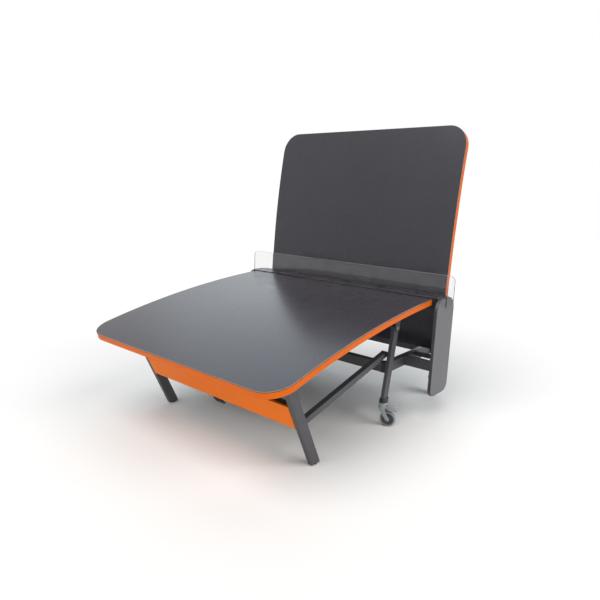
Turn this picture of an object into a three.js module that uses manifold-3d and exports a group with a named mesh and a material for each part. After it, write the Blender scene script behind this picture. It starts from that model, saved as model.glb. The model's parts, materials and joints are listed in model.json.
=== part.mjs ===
// A folding table-tennis table with a curved playing surface, shown in its playback position:
// the front half is down for play and the rear half stands upright.
// Millimetres, +X across the table, +Y along it, +Z up. Pieces are drawn as they lie in play,
// with u the distance from the net, and each half is then turned about its own pivots.
import * as THREE from "three";
import { mergeVertices } from "three/addons/utils/BufferGeometryUtils.js";
import Module from "manifold-3d";

const wasm = await Module();
wasm.setup();

// ---- playing surface ----
const TABLE_LENGTH = 3000; // both halves down, edge to edge
const TABLE_WIDTH = 1500;
const PEAK_HEIGHT = 785.4; // the curved surface produced to the net line
const INNER_SLOPE = 0.0455; // fall per millimetre at the net line
const END_DROP = 238.5; // from the peak down to the end of the table
const TIP_DROP = 16; // the share of that drop that comes in towards the tip
const INNER_EDGE = 81.4; // from the net line to the edge of each half
const BOARD_THICKNESS = 38.7;
const LAMINATE_THICKNESS = 4;
const BAND_THICKNESS = 3;
const CORNER_RADIUS = 130;
const INNER_CORNER_RADIUS = 6;
const SURFACE_STEPS = 20;

// ---- fold of each half ----
const FOLD_DEGREES = 93.98;
const FOLD_PIVOT_U = 264;
const FOLD_PIVOT_DROP = 180.4; // below the peak
const PIVOT_RADIUS = 8;

// ---- caster legs ----
const CASTER_LEG_INSET = 140; // from the table's side to the legs' centre plane
const CASTER_LEG_WIDTH = 25; // across the table
const CASTER_LEG_DEPTH = 50; // along the table
const CASTER_LEG_FOOT = { u: 345, z: 156 };
const TUBE_WALL = 2.5;
const COLLAR_RADIUS = 29;
const COLLAR_HEIGHT = 30;
const COLLAR_FLOOR = 6; // plastic left under the leg's end
const COLLAR_WALL = 3; // of its sleeve, round the tube
const COLLAR_CURVE = { across: 9, height: 14 }; // rounding of its shoulder

// ---- casters ----
const WHEEL_RADIUS = 48;
const WHEEL_WIDTH = 30;
const RIM_RADIUS = 34; // where the hub's face meets the tyre
const AXLE_RADIUS = 6;
const AXLE_END = 2; // past the fork's arms
const HUB_RADIUS = 14;
const HUB_BOSS = 2; // past the tyre's sides
const HUB_DISH = 5; // inside the tyre's sides
const TREAD_ROUND = 5;
const CASTER_TRAIL = 32;
const CASTER_HEADING = { front: 20, rear: 125 }; // degrees from +X to where the wheels trail
const FORK_PLATE = 5;
const FORK_ARM_RADIUS = 12; // round the axle
const FORK_CAP_RADIUS = 29;
const FORK_CAP_HEIGHT = 38;
const FORK_CAP_TOP = 8; // solid top of the cap
const FORK_CAP_LIP = 8; // how far the cap's open front is set back
const FORK_SIDE_GAP = 3; // between the wheel and each arm
const FORK_SHOULDER = { back: 26, over: 42 }; // corners of an arm's rear edge: behind the swivel axis
const FORK_ELBOW = { back: 15, over: 28 }; // and over the axle
const FORK_THROAT = { ahead: 7, under: 12, slope: 2 }; // front edge of an arm, under the cap
const STEM_RADIUS = 7;
const PEDAL_REACH = 61; // past the wheel's centre
const PEDAL_WIDTH = 44;
const PEDAL_GAP = 7; // over the wheel
const PEDAL_PIN_RADIUS = 3;
const PEDAL_EYE = 4; // plastic round the pin
const PEDAL_PIN_RISE = 8; // of the pin over the cap's lower edge
const PEDAL_CHAMFER = 3;
const PEDAL_TONGUE = 4; // how far the tongue runs into the shoe
const PEDAL_CREST = 24; // past the axle, where the top starts to fall
const PEDAL_DIP = { past: 16, under: 3 }; // hollow under the toe
const PEDAL_TOE = { rise: 7, height: 5, back: 4 };

// ---- base frame ----
const RAIL_TOP_DROP = 220; // from the fold pivots down to the rails' tops
const RAIL_HEIGHT = 65;
const RAIL_WIDTH = 40;
const CROSS_RAIL_OUTER = 310; // from the net line to the outer face
const STUB_OUTER = 77; // outer faces of the outriggers that carry the side plates
const STUB_WIDTH = 25;
const REAR_STUB_HEIGHT = 28; // the rear outriggers are shallower, flush with the rails' tops
const DRAIN_RADIUS = 7;

// ---- net, centre beam and side plates ----
const NET_OVERHANG = 44.5; // past the side plates
const NET_THICKNESS = 10;
const NET_ABOVE = 140; // over the peak
const NET_BELOW = 63.4; // under the peak, in its slot
const NET_CORNER = 36;
const BEAM_FLOOR = 10; // beam left under the net
const BEAM_SWING_GAP = 4; // between the beam's flanks and the halves that swing past them
const BEAM_STEPS = 10;
const SIDE_PLATE_GAP = 35.5; // from the table's side to the plate
const SIDE_PLATE_THICKNESS = 20;
const SIDE_PLATE_WIDTH = 241;
const SIDE_PLATE_BOTTOM = 161;
const SIDE_PLATE_TOP_RADIUS = 78;
const SIDE_PLATE_BOTTOM_RADIUS = 58;

// ---- outer legs ----
const LEG_INSET = 153.3; // from the table's side to the legs' centre plane
const LEG_WIDTH = 30; // across the table
const LEG_DEPTH = 60;
const LEG_DEGREES = 25.5; // lean, foot towards the net
const LEG_PIVOT_U = 1260.7;
const LEG_PIVOT_DROP = 78.1; // below the playing surface there
const LEG_PIVOT_RADIUS = 6;
const FOOT_HEIGHT = 5; // of the glide under the leg
const GLIDE_RADIUS = 14.4;
const FOOT_PLUG = 26;
const LEG_WALL = 2;
const CROSSBAR_FROM_PIVOT = 166;
const CROSSBAR_DEPTH = 20;
const CROSSBAR_HEIGHT = 44; // along the leg

// ---- front panel between the outer legs ----
const PANEL_GAP = 1; // between its ends and the legs
const PANEL_AHEAD = 2; // its face, in front of the legs' front faces
const PANEL_HEIGHT = 150; // along the leg
const PANEL_FROM_PIVOT = 162; // its top edge
const PANEL_DEPTH = 12;
const PANEL_SHEET = 2;
const PANEL_TAB_X = 420;
const PANEL_TAB_WIDTH = 30;
const PANEL_TAB_DROP = 6;
const HANDLE_WIDTH = 82;
const HANDLE_DROP = 39; // below the panel
const HANDLE_SHEET = 4;
const HANDLE_PIN_RISE = 10; // over the panel's lower edge
const HANDLE_BEHIND = 7.3; // the pin, behind the panel's face
const HANDLE_LIP = 12;
const HANDLE_NOTCH = 10; // cut out of one lower corner
const HANDLE_PIN_RADIUS = 3;
const HANDLE_BARREL = 4.5;
const HANDLE_EAR = 3;
const HANDLE_EAR_ROOT = 9;

// ---- struts ----
const STRUT_GAP = 1.2; // between a strut and the outer leg beside it
const STRUT_SIZE = 35;
const STRUT_PIVOT_DROP = 169; // from the fold pivot, down the caster leg
const STRUT_PIVOT_RADIUS = 8;
const STRUT_SPARE = 8.9; // how much a strut and leg, end to end, exceed the folded span
const STRUT_BOLT_HEAD = 11;
const STRUT_PLUG = 40; // solid length at each end
const STRUT_DRAIN = 60; // from the pivot
const BOSS_RIM = 5; // round a pin, between a strut and its caster leg

const BRACKET_PLATE = 5;
const BRACKET_HALF = 25; // half of a bracket's length along the table
const HEAD_RADIUS = 12;
const HEAD_HEIGHT = 4;
const FIT = 0.3; // clearance between neighbours
const PAST = 1; // how far a cutting tool runs past a face
const SIDES = { left: -1, right: 1 };
const ROUND = 16; // facets of a full circle
const SMALL_ROUND = 12;
const HEX = 6;
const WHEEL_FACETS = 20;
const ARC_SEGMENTS = 6; // of each corner

// ---------------------------------------------------------------- solids

// A closed geometry as a solid that can be joined and cut.
function solid(geometry) {
  const bare = geometry.clone();
  bare.deleteAttribute("normal");
  bare.deleteAttribute("uv");
  const merged = mergeVertices(bare, 1e-4);
  const vertProperties = new Float32Array(merged.attributes.position.array);
  const triVerts = new Uint32Array(merged.index.array);
  return new wasm.Manifold(new wasm.Mesh({ numProp: 3, vertProperties, triVerts }));
}

// The named mesh of a solid.
function mesh(name, body, finish) {
  const made = body.getMesh();
  const geometry = new THREE.BufferGeometry();
  geometry.setAttribute("position", new THREE.BufferAttribute(made.vertProperties, 3));
  geometry.setIndex(new THREE.BufferAttribute(made.triVerts, 1));
  geometry.computeVertexNormals();
  const result = new THREE.Mesh(geometry, new THREE.MeshStandardMaterial(finish));
  result.name = name;
  return result;
}

const join = (...bodies) => bodies.reduce((a, b) => a.add(b));
const cut = (body, ...tools) => tools.reduce((a, b) => a.subtract(b), body);

// An outline in the (u, z) plane carried across the table from x0 to x1.
function across(outline, x0, x1, holes = []) {
  const shape = outline instanceof THREE.Shape ? outline : new THREE.Shape(outline);
  holes.forEach((hole) => shape.holes.push(new THREE.Path(hole)));
  const settings = { depth: x1 - x0, bevelEnabled: false, curveSegments: ARC_SEGMENTS };
  const geometry = new THREE.ExtrudeGeometry(shape, settings);
  const basis = new THREE.Matrix4().makeBasis(
    new THREE.Vector3(0, 1, 0),
    new THREE.Vector3(0, 0, 1),
    new THREE.Vector3(1, 0, 0),
  );
  return solid(geometry.applyMatrix4(basis).translate(x0, 0, 0));
}

// A block between two corners.
function block(x0, x1, u0, u1, z0, z1) {
  const box = new THREE.BoxGeometry(x1 - x0, u1 - u0, z1 - z0);
  return solid(box.translate((x0 + x1) / 2, (u0 + u1) / 2, (z0 + z1) / 2));
}

// A round bar across the table, centred on (u, z).
function bar(radius, x0, x1, centre, facets = ROUND) {
  const round = new THREE.CylinderGeometry(radius, radius, x1 - x0, facets);
  return solid(round.rotateZ(Math.PI / 2).translate((x0 + x1) / 2, centre.u, centre.z));
}

// A round bar standing on z0, centred on (x, u).
function post(radius, x, u, z0, z1, facets = ROUND) {
  const round = new THREE.CylinderGeometry(radius, radius, z1 - z0, facets);
  return solid(round.rotateX(Math.PI / 2).translate(x, u, (z0 + z1) / 2));
}

const point = (u, z) => new THREE.Vector2(u, z);
const turned = (vector, degrees) =>
  vector.clone().rotateAround(point(0, 0), THREE.MathUtils.degToRad(degrees));

// The outline of a bar from one centre to another: round over the first, cut flat at the second.
function roundedBar(from, to, depth, flatCut) {
  const along = point(to.u - from.u, to.z - from.z).normalize();
  const side = point(-along.y, along.x).multiplyScalar(depth / 2);
  const outline = [];
  for (let i = 0; i <= ROUND / 2; i++) {
    const arm = turned(side, 180 * (i / (ROUND / 2)));
    outline.push(point(from.u + arm.x, from.z + arm.y));
  }
  const rise = flatCut ? side.y / along.y : 0;
  outline.push(point(to.u - side.x + along.x * rise, to.z - side.y + along.y * rise));
  outline.push(point(to.u + side.x - along.x * rise, to.z + side.y - along.y * rise));
  return outline;
}

// ---------------------------------------------------------------- playing surface

const HALF_LENGTH = TABLE_LENGTH / 2;

// Height of the playing surface at distance u from the net, in play.
function surfaceHeight(u) {
  const share = u / HALF_LENGTH;
  const bow = END_DROP - TIP_DROP - INNER_SLOPE * HALF_LENGTH;
  return PEAK_HEIGHT - INNER_SLOPE * u - bow * share ** 2 - TIP_DROP * share ** 4;
}

// Direction of the surface at u, and its upward normal.
function surfaceFrame(u) {
  const step = 1;
  const along = point(2 * step, surfaceHeight(u + step) - surfaceHeight(u - step)).normalize();
  return { along, up: point(-along.y, along.x) };
}

// A point at a depth under the surface, measured square to it.
function underSurface(u, depth) {
  const { up } = surfaceFrame(u);
  return point(u - up.x * depth, surfaceHeight(u) - up.y * depth);
}

const FOLD_PIVOT = { u: FOLD_PIVOT_U, z: PEAK_HEIGHT - FOLD_PIVOT_DROP };
const LEG_PIVOT = { u: LEG_PIVOT_U, z: surfaceHeight(LEG_PIVOT_U) - LEG_PIVOT_DROP };
const CASTER_LEG_X = TABLE_WIDTH / 2 - CASTER_LEG_INSET;
const LEG_X = TABLE_WIDTH / 2 - LEG_INSET;
const STRUT_X = LEG_X - LEG_WIDTH / 2 - STRUT_GAP - STRUT_SIZE / 2;
const SIDE_PLATE_X = TABLE_WIDTH / 2 + SIDE_PLATE_GAP; // inner face
const NET_TOP = PEAK_HEIGHT + NET_ABOVE;
const NET_BOTTOM = PEAK_HEIGHT - NET_BELOW;
const RAIL_TOP = FOLD_PIVOT.z - RAIL_TOP_DROP;

// A layer of the board between two depths, wider than the table at both ends.
function layer(depthTop, depthBottom) {
  const over = CORNER_RADIUS / 4; // trimmed off by the plan
  const top = [];
  const bottom = [];
  for (let i = 0; i <= SURFACE_STEPS; i++) {
    const u = INNER_EDGE - over + ((HALF_LENGTH - INNER_EDGE + 2 * over) * i) / SURFACE_STEPS;
    top.push(underSurface(u, depthTop));
    bottom.unshift(underSurface(u, depthBottom));
  }
  return across([...bottom, ...top], -TABLE_WIDTH / 2 - PAST, TABLE_WIDTH / 2 + PAST);
}

// The plan of a half, drawn in by a margin: square at the net, round at the far corners.
function plan(margin) {
  const side = TABLE_WIDTH / 2 - margin;
  const near = INNER_EDGE + margin;
  const far = HALF_LENGTH - margin;
  const big = CORNER_RADIUS - margin;
  const small = Math.max(INNER_CORNER_RADIUS - margin, 1);
  const shape = new THREE.Shape();
  shape.moveTo(-side + small, near);
  shape.lineTo(side - small, near);
  shape.absarc(side - small, near + small, small, -Math.PI / 2, 0);
  shape.lineTo(side, far - big);
  shape.absarc(side - big, far - big, big, 0, Math.PI / 2);
  shape.lineTo(-side + big, far);
  shape.absarc(-side + big, far - big, big, Math.PI / 2, Math.PI);
  shape.lineTo(-side, near + small);
  shape.absarc(-side + small, near + small, small, Math.PI, 1.5 * Math.PI);
  return squaredToSurface(shape);
}

// A plan carried up through the board, with its walls square to the surface where they cross it.
function squaredToSurface(shape) {
  const settings = { depth: PEAK_HEIGHT, bevelEnabled: false, curveSegments: ARC_SEGMENTS };
  const geometry = new THREE.ExtrudeGeometry(shape, settings).translate(0, 0, BOARD_THICKNESS);
  const corners = geometry.attributes.position;
  for (let i = 0; i < corners.count; i++) {
    const u = corners.getY(i);
    const { up } = surfaceFrame(u);
    corners.setY(i, u + ((corners.getZ(i) - surfaceHeight(u)) * up.x) / up.y);
  }
  return solid(geometry);
}

// The board: a laminate over the whole plan, on a core that is set in from the edge band.
function board() {
  const laminate = layer(0, LAMINATE_THICKNESS).intersect(plan(0));
  const core = layer(LAMINATE_THICKNESS - 1, BOARD_THICKNESS).intersect(plan(BAND_THICKNESS + FIT));
  return join(laminate, core);
}

// The edge band: a strip right round the core, under the laminate's edge.
function edgeBand() {
  const strip = layer(LAMINATE_THICKNESS + FIT, BOARD_THICKNESS).intersect(plan(0));
  return cut(strip, plan(BAND_THICKNESS));
}

// ---------------------------------------------------------------- brackets under the board

// A channel under the board whose two cheeks hold a leg on a bolt.
function bracket(pivot, legX, legWidth, boltRadius) {
  const seat = underSurface(pivot.u, BOARD_THICKNESS + FIT);
  const { along } = surfaceFrame(pivot.u);
  const reach = along.clone().multiplyScalar(BRACKET_HALF);
  const down = point(along.y, -along.x).multiplyScalar(BRACKET_PLATE);
  const start = seat.clone().sub(reach);
  const end = seat.clone().add(reach);
  const cheek = [start, end];
  const low = -Math.atan2(along.y, along.x);
  for (let i = 0; i <= ROUND / 2; i++) {
    const angle = -low - (Math.PI * i) / (ROUND / 2);
    cheek.push(point(pivot.u + BRACKET_HALF * Math.cos(angle), pivot.z + BRACKET_HALF * Math.sin(angle)));
  }
  const inner = legX - legWidth / 2 - FIT;
  const outer = legX + legWidth / 2 + FIT;
  const web = [start, start.clone().add(down), end.clone().add(down), end];
  return join(
    across(cheek, inner - BRACKET_PLATE, inner),
    across(cheek, outer, outer + BRACKET_PLATE),
    across(web, inner - BRACKET_PLATE, outer + BRACKET_PLATE),
    bar(boltRadius, inner - BRACKET_PLATE - HEAD_HEIGHT, outer + BRACKET_PLATE + HEAD_HEIGHT, pivot),
    bar(HEAD_RADIUS, outer + BRACKET_PLATE - PAST, outer + BRACKET_PLATE + HEAD_HEIGHT, pivot, HEX),
    bar(HEAD_RADIUS, inner - BRACKET_PLATE - HEAD_HEIGHT, inner - BRACKET_PLATE + PAST, pivot, HEX),
  );
}

// ---------------------------------------------------------------- caster legs and collars

const casterLegLean = (FOLD_PIVOT.u - CASTER_LEG_FOOT.u) / (FOLD_PIVOT.z - CASTER_LEG_FOOT.z);
const STRUT_PIVOT = {
  u: FOLD_PIVOT.u - STRUT_PIVOT_DROP * casterLegLean,
  z: FOLD_PIVOT.z - STRUT_PIVOT_DROP,
};
const COLLAR_BOTTOM = CASTER_LEG_FOOT.z - COLLAR_FLOOR - FIT;

// The tube that carries a half at its top, a strut on a pin, and a caster at its foot.
function casterLeg() {
  const inner = CASTER_LEG_X - CASTER_LEG_WIDTH / 2;
  const outer = CASTER_LEG_X + CASTER_LEG_WIDTH / 2;
  const strutFace = STRUT_X + STRUT_SIZE / 2 + FIT;
  const pinEnd = STRUT_X - STRUT_SIZE / 2 - FIT;
  const outside = roundedBar(FOLD_PIVOT, CASTER_LEG_FOOT, CASTER_LEG_DEPTH, true);
  const below = (place, drop) => ({ u: place.u - drop * casterLegLean, z: place.z - drop });
  const hollowTop = below(FOLD_PIVOT, CASTER_LEG_DEPTH);
  const hollowEnd = below(CASTER_LEG_FOOT, CASTER_LEG_DEPTH / 5);
  const inside = roundedBar(hollowTop, hollowEnd, CASTER_LEG_DEPTH - 2 * TUBE_WALL, true);
  return join(
    cut(
      across(outside, inner, outer),
      across(inside, inner + TUBE_WALL, outer - TUBE_WALL),
      bar(PIVOT_RADIUS + FIT, inner - PAST, outer + PAST, FOLD_PIVOT),
    ),
    bar(STRUT_PIVOT_RADIUS, pinEnd - HEAD_HEIGHT, outer - TUBE_WALL / 2, STRUT_PIVOT),
    bar(STRUT_PIVOT_RADIUS + BOSS_RIM, strutFace, inner + TUBE_WALL / 2, STRUT_PIVOT),
    bar(HEAD_RADIUS, pinEnd - HEAD_HEIGHT, pinEnd, STRUT_PIVOT, HEX),
  );
}

// The plastic cap on the leg's foot: a round base and a sleeve that leans with the tube, with a blind
// pocket for the tube and a bore for the caster.
function collar() {
  const top = COLLAR_BOTTOM + COLLAR_HEIGHT;
  const profile = [point(0, COLLAR_BOTTOM), point(COLLAR_RADIUS, COLLAR_BOTTOM)];
  for (let i = 0; i <= ARC_SEGMENTS; i++) {
    const angle = (Math.PI / 2) * (i / ARC_SEGMENTS);
    profile.push(
      point(
        COLLAR_RADIUS - COLLAR_CURVE.across * (1 - Math.cos(angle)),
        top - COLLAR_CURVE.height * (1 - Math.sin(angle)),
      ),
    );
  }
  profile.push(point(0, top));
  const round = new THREE.LatheGeometry(profile, ROUND).rotateX(Math.PI / 2);
  const cap = solid(round.translate(CASTER_LEG_X, CASTER_LEG_FOOT.u, 0));
  const rise = COLLAR_HEIGHT + CASTER_LEG_DEPTH / 5;
  const above = { u: CASTER_LEG_FOOT.u + rise * casterLegLean, z: CASTER_LEG_FOOT.z + rise };
  const half = CASTER_LEG_WIDTH / 2 + FIT;
  const socket = (wall) => {
    const drop = FIT + wall;
    const foot = { u: CASTER_LEG_FOOT.u - drop * casterLegLean, z: CASTER_LEG_FOOT.z - drop };
    const outline = roundedBar(above, foot, CASTER_LEG_DEPTH + 2 * (FIT + wall), true);
    return across(outline, CASTER_LEG_X - half - wall, CASTER_LEG_X + half + wall);
  };
  const overhead = block(
    CASTER_LEG_X - CASTER_LEG_DEPTH,
    CASTER_LEG_X + CASTER_LEG_DEPTH,
    CASTER_LEG_FOOT.u - 2 * CASTER_LEG_DEPTH,
    CASTER_LEG_FOOT.u + 2 * CASTER_LEG_DEPTH,
    top,
    top + 2 * CASTER_LEG_DEPTH,
  );
  return cut(
    join(cap, socket(COLLAR_WALL)),
    overhead,
    socket(0),
    post(STEM_RADIUS + FIT, CASTER_LEG_X, CASTER_LEG_FOOT.u, COLLAR_BOTTOM - PAST, CASTER_LEG_FOOT.z + PAST),
  );
}

// ---------------------------------------------------------------- casters
// Drawn with the swivel axis at x = 0, u = 0 and the wheel trailing towards +u.

const FORK_TOP = COLLAR_BOTTOM - FIT;
const FORK_CAP_BOTTOM = FORK_TOP - FORK_CAP_HEIGHT;
const AXLE = { u: CASTER_TRAIL, z: WHEEL_RADIUS };
const FORK_GAP = WHEEL_WIDTH / 2 + FORK_SIDE_GAP;
const PEDAL_PIVOT = { u: 0, z: FORK_CAP_BOTTOM + PEDAL_PIN_RISE };

// Points on an arc in the (u, z) plane, from one angle to another in degrees.
function arc(centre, radius, from, to, steps = ROUND / 2) {
  const points = [];
  for (let i = 0; i <= steps; i++) {
    const arm = turned(point(radius, 0), from + ((to - from) * i) / steps);
    points.push(point(centre.u + arm.x, centre.z + arm.y));
  }
  return points;
}

// The swivelling fork: a cap with its stem, two arms that slant down to the axle, and the axle.
function fork() {
  const armTop = FORK_TOP - FORK_CAP_TOP;
  const frontFace = FORK_CAP_RADIUS - FORK_CAP_LIP;
  const underAxle = { from: 205, to: 385 };
  const arm = [
    point(-FORK_SHOULDER.back - PAST, armTop),
    point(-FORK_SHOULDER.back, AXLE.z + FORK_SHOULDER.over),
    point(-FORK_ELBOW.back, AXLE.z + FORK_ELBOW.over),
    ...arc(AXLE, FORK_ARM_RADIUS, underAxle.from, underAxle.to, ARC_SEGMENTS),
    point(FORK_THROAT.ahead, FORK_CAP_BOTTOM - FORK_THROAT.under),
    point(FORK_THROAT.ahead - FORK_THROAT.slope, FORK_CAP_BOTTOM - FORK_THROAT.slope),
    point(frontFace, FORK_CAP_BOTTOM + FORK_THROAT.under),
    point(frontFace, armTop),
  ];
  const inside = FORK_CAP_RADIUS + PAST;
  const cap = cut(
    post(FORK_CAP_RADIUS, 0, 0, FORK_CAP_BOTTOM, FORK_TOP),
    block(-FORK_GAP, FORK_GAP, -FORK_GAP, inside, FORK_CAP_BOTTOM - PAST, armTop),
    block(-inside, inside, frontFace, inside, FORK_CAP_BOTTOM - PAST, armTop),
  );
  const axleEnd = FORK_GAP + FORK_PLATE + AXLE_END;
  return join(
    cap,
    post(STEM_RADIUS, 0, 0, FORK_TOP - FORK_CAP_TOP / 4, CASTER_LEG_FOOT.z - FIT),
    across(arm, -FORK_GAP - FORK_PLATE, -FORK_GAP),
    across(arm, FORK_GAP, FORK_GAP + FORK_PLATE),
    bar(AXLE_RADIUS, -axleEnd, axleEnd, AXLE),
    bar(PEDAL_PIN_RADIUS, -FORK_GAP - PAST, FORK_GAP + PAST, PEDAL_PIVOT, SMALL_ROUND),
  );
}

// The wheel: a tyre with a rounded tread round a dished hub, on a plain bore.
function wheel() {
  const half = WHEEL_WIDTH / 2;
  const boss = half + HUB_BOSS;
  const dish = half - HUB_DISH;
  const bore = AXLE_RADIUS + FIT;
  const bevel = HUB_BOSS;
  const right = [
    point(RIM_RADIUS + bevel, half),
    point(RIM_RADIUS, dish),
    point(HUB_RADIUS + bevel, dish),
    point(HUB_RADIUS, boss),
    point(bore, boss),
  ];
  const left = right.map((p) => point(p.x, -p.y)).reverse();
  const tread = arc({ u: WHEEL_RADIUS - TREAD_ROUND, z: 0 }, TREAD_ROUND, -90, 90, 3);
  const flatten = (half - 0.01) / TREAD_ROUND;
  const profile = [...left, ...tread.map((p) => point(p.x, p.y * flatten)), ...right, left[0].clone()];
  const round = new THREE.LatheGeometry(profile, WHEEL_FACETS).rotateZ(-Math.PI / 2);
  return solid(round.translate(0, AXLE.u, AXLE.z));
}

// The brake pedal: a fender over the wheel that turns on a pin in the fork.
function pedal() {
  const crown = 2 * WHEEL_RADIUS + PEDAL_GAP;
  const tip = { u: AXLE.u + PEDAL_REACH, z: crown + PEDAL_TOE.rise };
  const start = FORK_CAP_RADIUS + PAST;
  const top = FORK_TOP - FORK_CAP_TOP - PEDAL_CHAMFER;
  const tongueEnd = start + PEDAL_TONGUE;
  const tongue = [
    ...arc(PEDAL_PIVOT, PEDAL_PIN_RADIUS + PEDAL_EYE, 90, 270, ARC_SEGMENTS),
    point(tongueEnd, crown),
    point(tongueEnd, top - PEDAL_CHAMFER / 2),
  ];
  const shoe = [
    point(start, crown + PEDAL_CHAMFER),
    point(start + 2 * PEDAL_CHAMFER, crown),
    point(AXLE.u + PEDAL_CREST - 2 * PEDAL_CHAMFER, crown),
    point(tip.u - PEDAL_DIP.past, crown - PEDAL_DIP.under),
    point(tip.u, tip.z),
    point(tip.u - PEDAL_TOE.back, tip.z + PEDAL_TOE.height),
    point(AXLE.u + PEDAL_CREST, top - PEDAL_TONGUE),
    point(tongueEnd, top),
    point(start, top - PEDAL_CHAMFER),
  ];
  const narrow = FORK_GAP - PAST;
  const hole = bar(PEDAL_PIN_RADIUS + FIT, -narrow - PAST, narrow + PAST, PEDAL_PIVOT, SMALL_ROUND);
  const wide = PEDAL_WIDTH / 2;
  return cut(join(across(tongue, -narrow, narrow), across(shoe, -wide, wide)), hole);
}

// ---------------------------------------------------------------- base frame

const FRAME_SIDE = CASTER_LEG_X - CASTER_LEG_WIDTH / 2 - FIT; // outer face of the length rails

// A square-cornered tube between two corners, open at both ends of one axis or closed.
function tube(x0, x1, u0, u1, z0, z1, open) {
  const wallX = open === "x" ? -PAST : TUBE_WALL;
  const wallU = open === "u" ? -PAST : TUBE_WALL;
  const inside = block(x0 + wallX, x1 - wallX, u0 + wallU, u1 - wallU, z0 + TUBE_WALL, z1 - TUBE_WALL);
  return cut(block(x0, x1, u0, u1, z0, z1), inside);
}

// The welded base: two length rails, two cross rails and four outriggers for the side plates.
function baseFrame() {
  const z0 = RAIL_TOP - RAIL_HEIGHT;
  const z1 = RAIL_TOP;
  const railInner = FRAME_SIDE - RAIL_WIDTH;
  const crossInner = CROSS_RAIL_OUTER - RAIL_WIDTH;
  const stubEnd = SIDE_PLATE_X - FIT;
  const pieces = [];
  for (const side of [-1, 1]) {
    const rail = side > 0 ? [railInner, FRAME_SIDE] : [-FRAME_SIDE, -railInner];
    const reach = side > 0 ? [FRAME_SIDE - PAST, stubEnd] : [-stubEnd, PAST - FRAME_SIDE];
    pieces.push(tube(...rail, -CROSS_RAIL_OUTER, CROSS_RAIL_OUTER, z0, z1, "u"));
    pieces.push(tube(...reach, -STUB_OUTER, STUB_WIDTH - STUB_OUTER, z0, z1, "x"));
    pieces.push(tube(...reach, STUB_OUTER - STUB_WIDTH, STUB_OUTER, z1 - REAR_STUB_HEIGHT, z1, "x"));
  }
  for (const end of [-1, 1]) {
    const span = end > 0 ? [crossInner, CROSS_RAIL_OUTER] : [-CROSS_RAIL_OUTER, -crossInner];
    const crossRail = tube(-railInner - PAST, railInner + PAST, ...span, z0, z1, "none");
    const drain = post(DRAIN_RADIUS, 0, (span[0] + span[1]) / 2, z0 - PAST, z0 + 2 * TUBE_WALL);
    pieces.push(cut(crossRail, drain));
  }
  return join(...pieces);
}

// ---------------------------------------------------------------- centre beam, side plates and net

const innerEdgeRadius = Math.hypot(INNER_EDGE - FOLD_PIVOT.u, surfaceHeight(INNER_EDGE) - FOLD_PIVOT.z);
const BEAM_TOP = PEAK_HEIGHT;
const BEAM_SWEEP = innerEdgeRadius + BEAM_SWING_GAP; // the halves' inner edges swing past the flanks

// The beam between the halves: flanks hollowed to the swing of the halves, and a slot for the net.
function centreBeam() {
  const bottom = NET_BOTTOM - BEAM_FLOOR;
  const flank = [];
  for (let i = 0; i <= BEAM_STEPS; i++) {
    const z = bottom + ((BEAM_TOP - bottom) * i) / BEAM_STEPS;
    flank.push(point(FOLD_PIVOT.u - Math.sqrt(BEAM_SWEEP ** 2 - (z - FOLD_PIVOT.z) ** 2), z));
  }
  const slot = NET_THICKNESS / 2 + FIT;
  const right = flank.map((p) => point(p.x, p.y));
  const left = flank.map((p) => point(-p.x, p.y)).reverse();
  const outline = [
    ...right,
    point(slot, BEAM_TOP),
    point(slot, NET_BOTTOM - FIT),
    point(-slot, NET_BOTTOM - FIT),
    point(-slot, BEAM_TOP),
    ...left,
  ];
  return across(outline, -SIDE_PLATE_X + FIT, SIDE_PLATE_X - FIT);
}

// A side plate: a tall board with round corners and a slot for the net in its top.
function sidePlate() {
  const half = SIDE_PLATE_WIDTH / 2;
  const top = BEAM_TOP;
  const big = SIDE_PLATE_TOP_RADIUS;
  const small = SIDE_PLATE_BOTTOM_RADIUS;
  const slot = NET_THICKNESS / 2 + FIT;
  const shape = new THREE.Shape();
  shape.moveTo(-half + small, SIDE_PLATE_BOTTOM);
  shape.lineTo(half - small, SIDE_PLATE_BOTTOM);
  shape.absarc(half - small, SIDE_PLATE_BOTTOM + small, small, -Math.PI / 2, 0);
  shape.lineTo(half, top - big);
  shape.absarc(half - big, top - big, big, 0, Math.PI / 2);
  shape.lineTo(slot, top);
  shape.lineTo(slot, NET_BOTTOM - FIT);
  shape.lineTo(-slot, NET_BOTTOM - FIT);
  shape.lineTo(-slot, top);
  shape.lineTo(-half + big, top);
  shape.absarc(-half + big, top - big, big, Math.PI / 2, Math.PI);
  shape.lineTo(-half, SIDE_PLATE_BOTTOM + small);
  shape.absarc(-half + small, SIDE_PLATE_BOTTOM + small, small, Math.PI, 1.5 * Math.PI);
  return across(shape, SIDE_PLATE_X, SIDE_PLATE_X + SIDE_PLATE_THICKNESS);
}

// The clear net panel: a long sheet with rounded corners.
function netPanel() {
  const half = SIDE_PLATE_X + SIDE_PLATE_THICKNESS + NET_OVERHANG;
  const r = NET_CORNER;
  const shape = new THREE.Shape();
  shape.moveTo(-half + r, NET_BOTTOM);
  shape.lineTo(half - r, NET_BOTTOM);
  shape.absarc(half - r, NET_BOTTOM + r, r, -Math.PI / 2, 0);
  shape.lineTo(half, NET_TOP - r);
  shape.absarc(half - r, NET_TOP - r, r, 0, Math.PI / 2);
  shape.lineTo(-half + r, NET_TOP);
  shape.absarc(-half + r, NET_TOP - r, r, Math.PI / 2, Math.PI);
  shape.lineTo(-half, NET_BOTTOM + r);
  shape.absarc(-half + r, NET_BOTTOM + r, r, Math.PI, 1.5 * Math.PI);
  const settings = { depth: NET_THICKNESS, bevelEnabled: false, curveSegments: ROUND / 2 };
  const sheet = new THREE.ExtrudeGeometry(shape, settings).rotateX(Math.PI / 2);
  return solid(sheet.translate(0, NET_THICKNESS / 2, 0));
}

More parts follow.
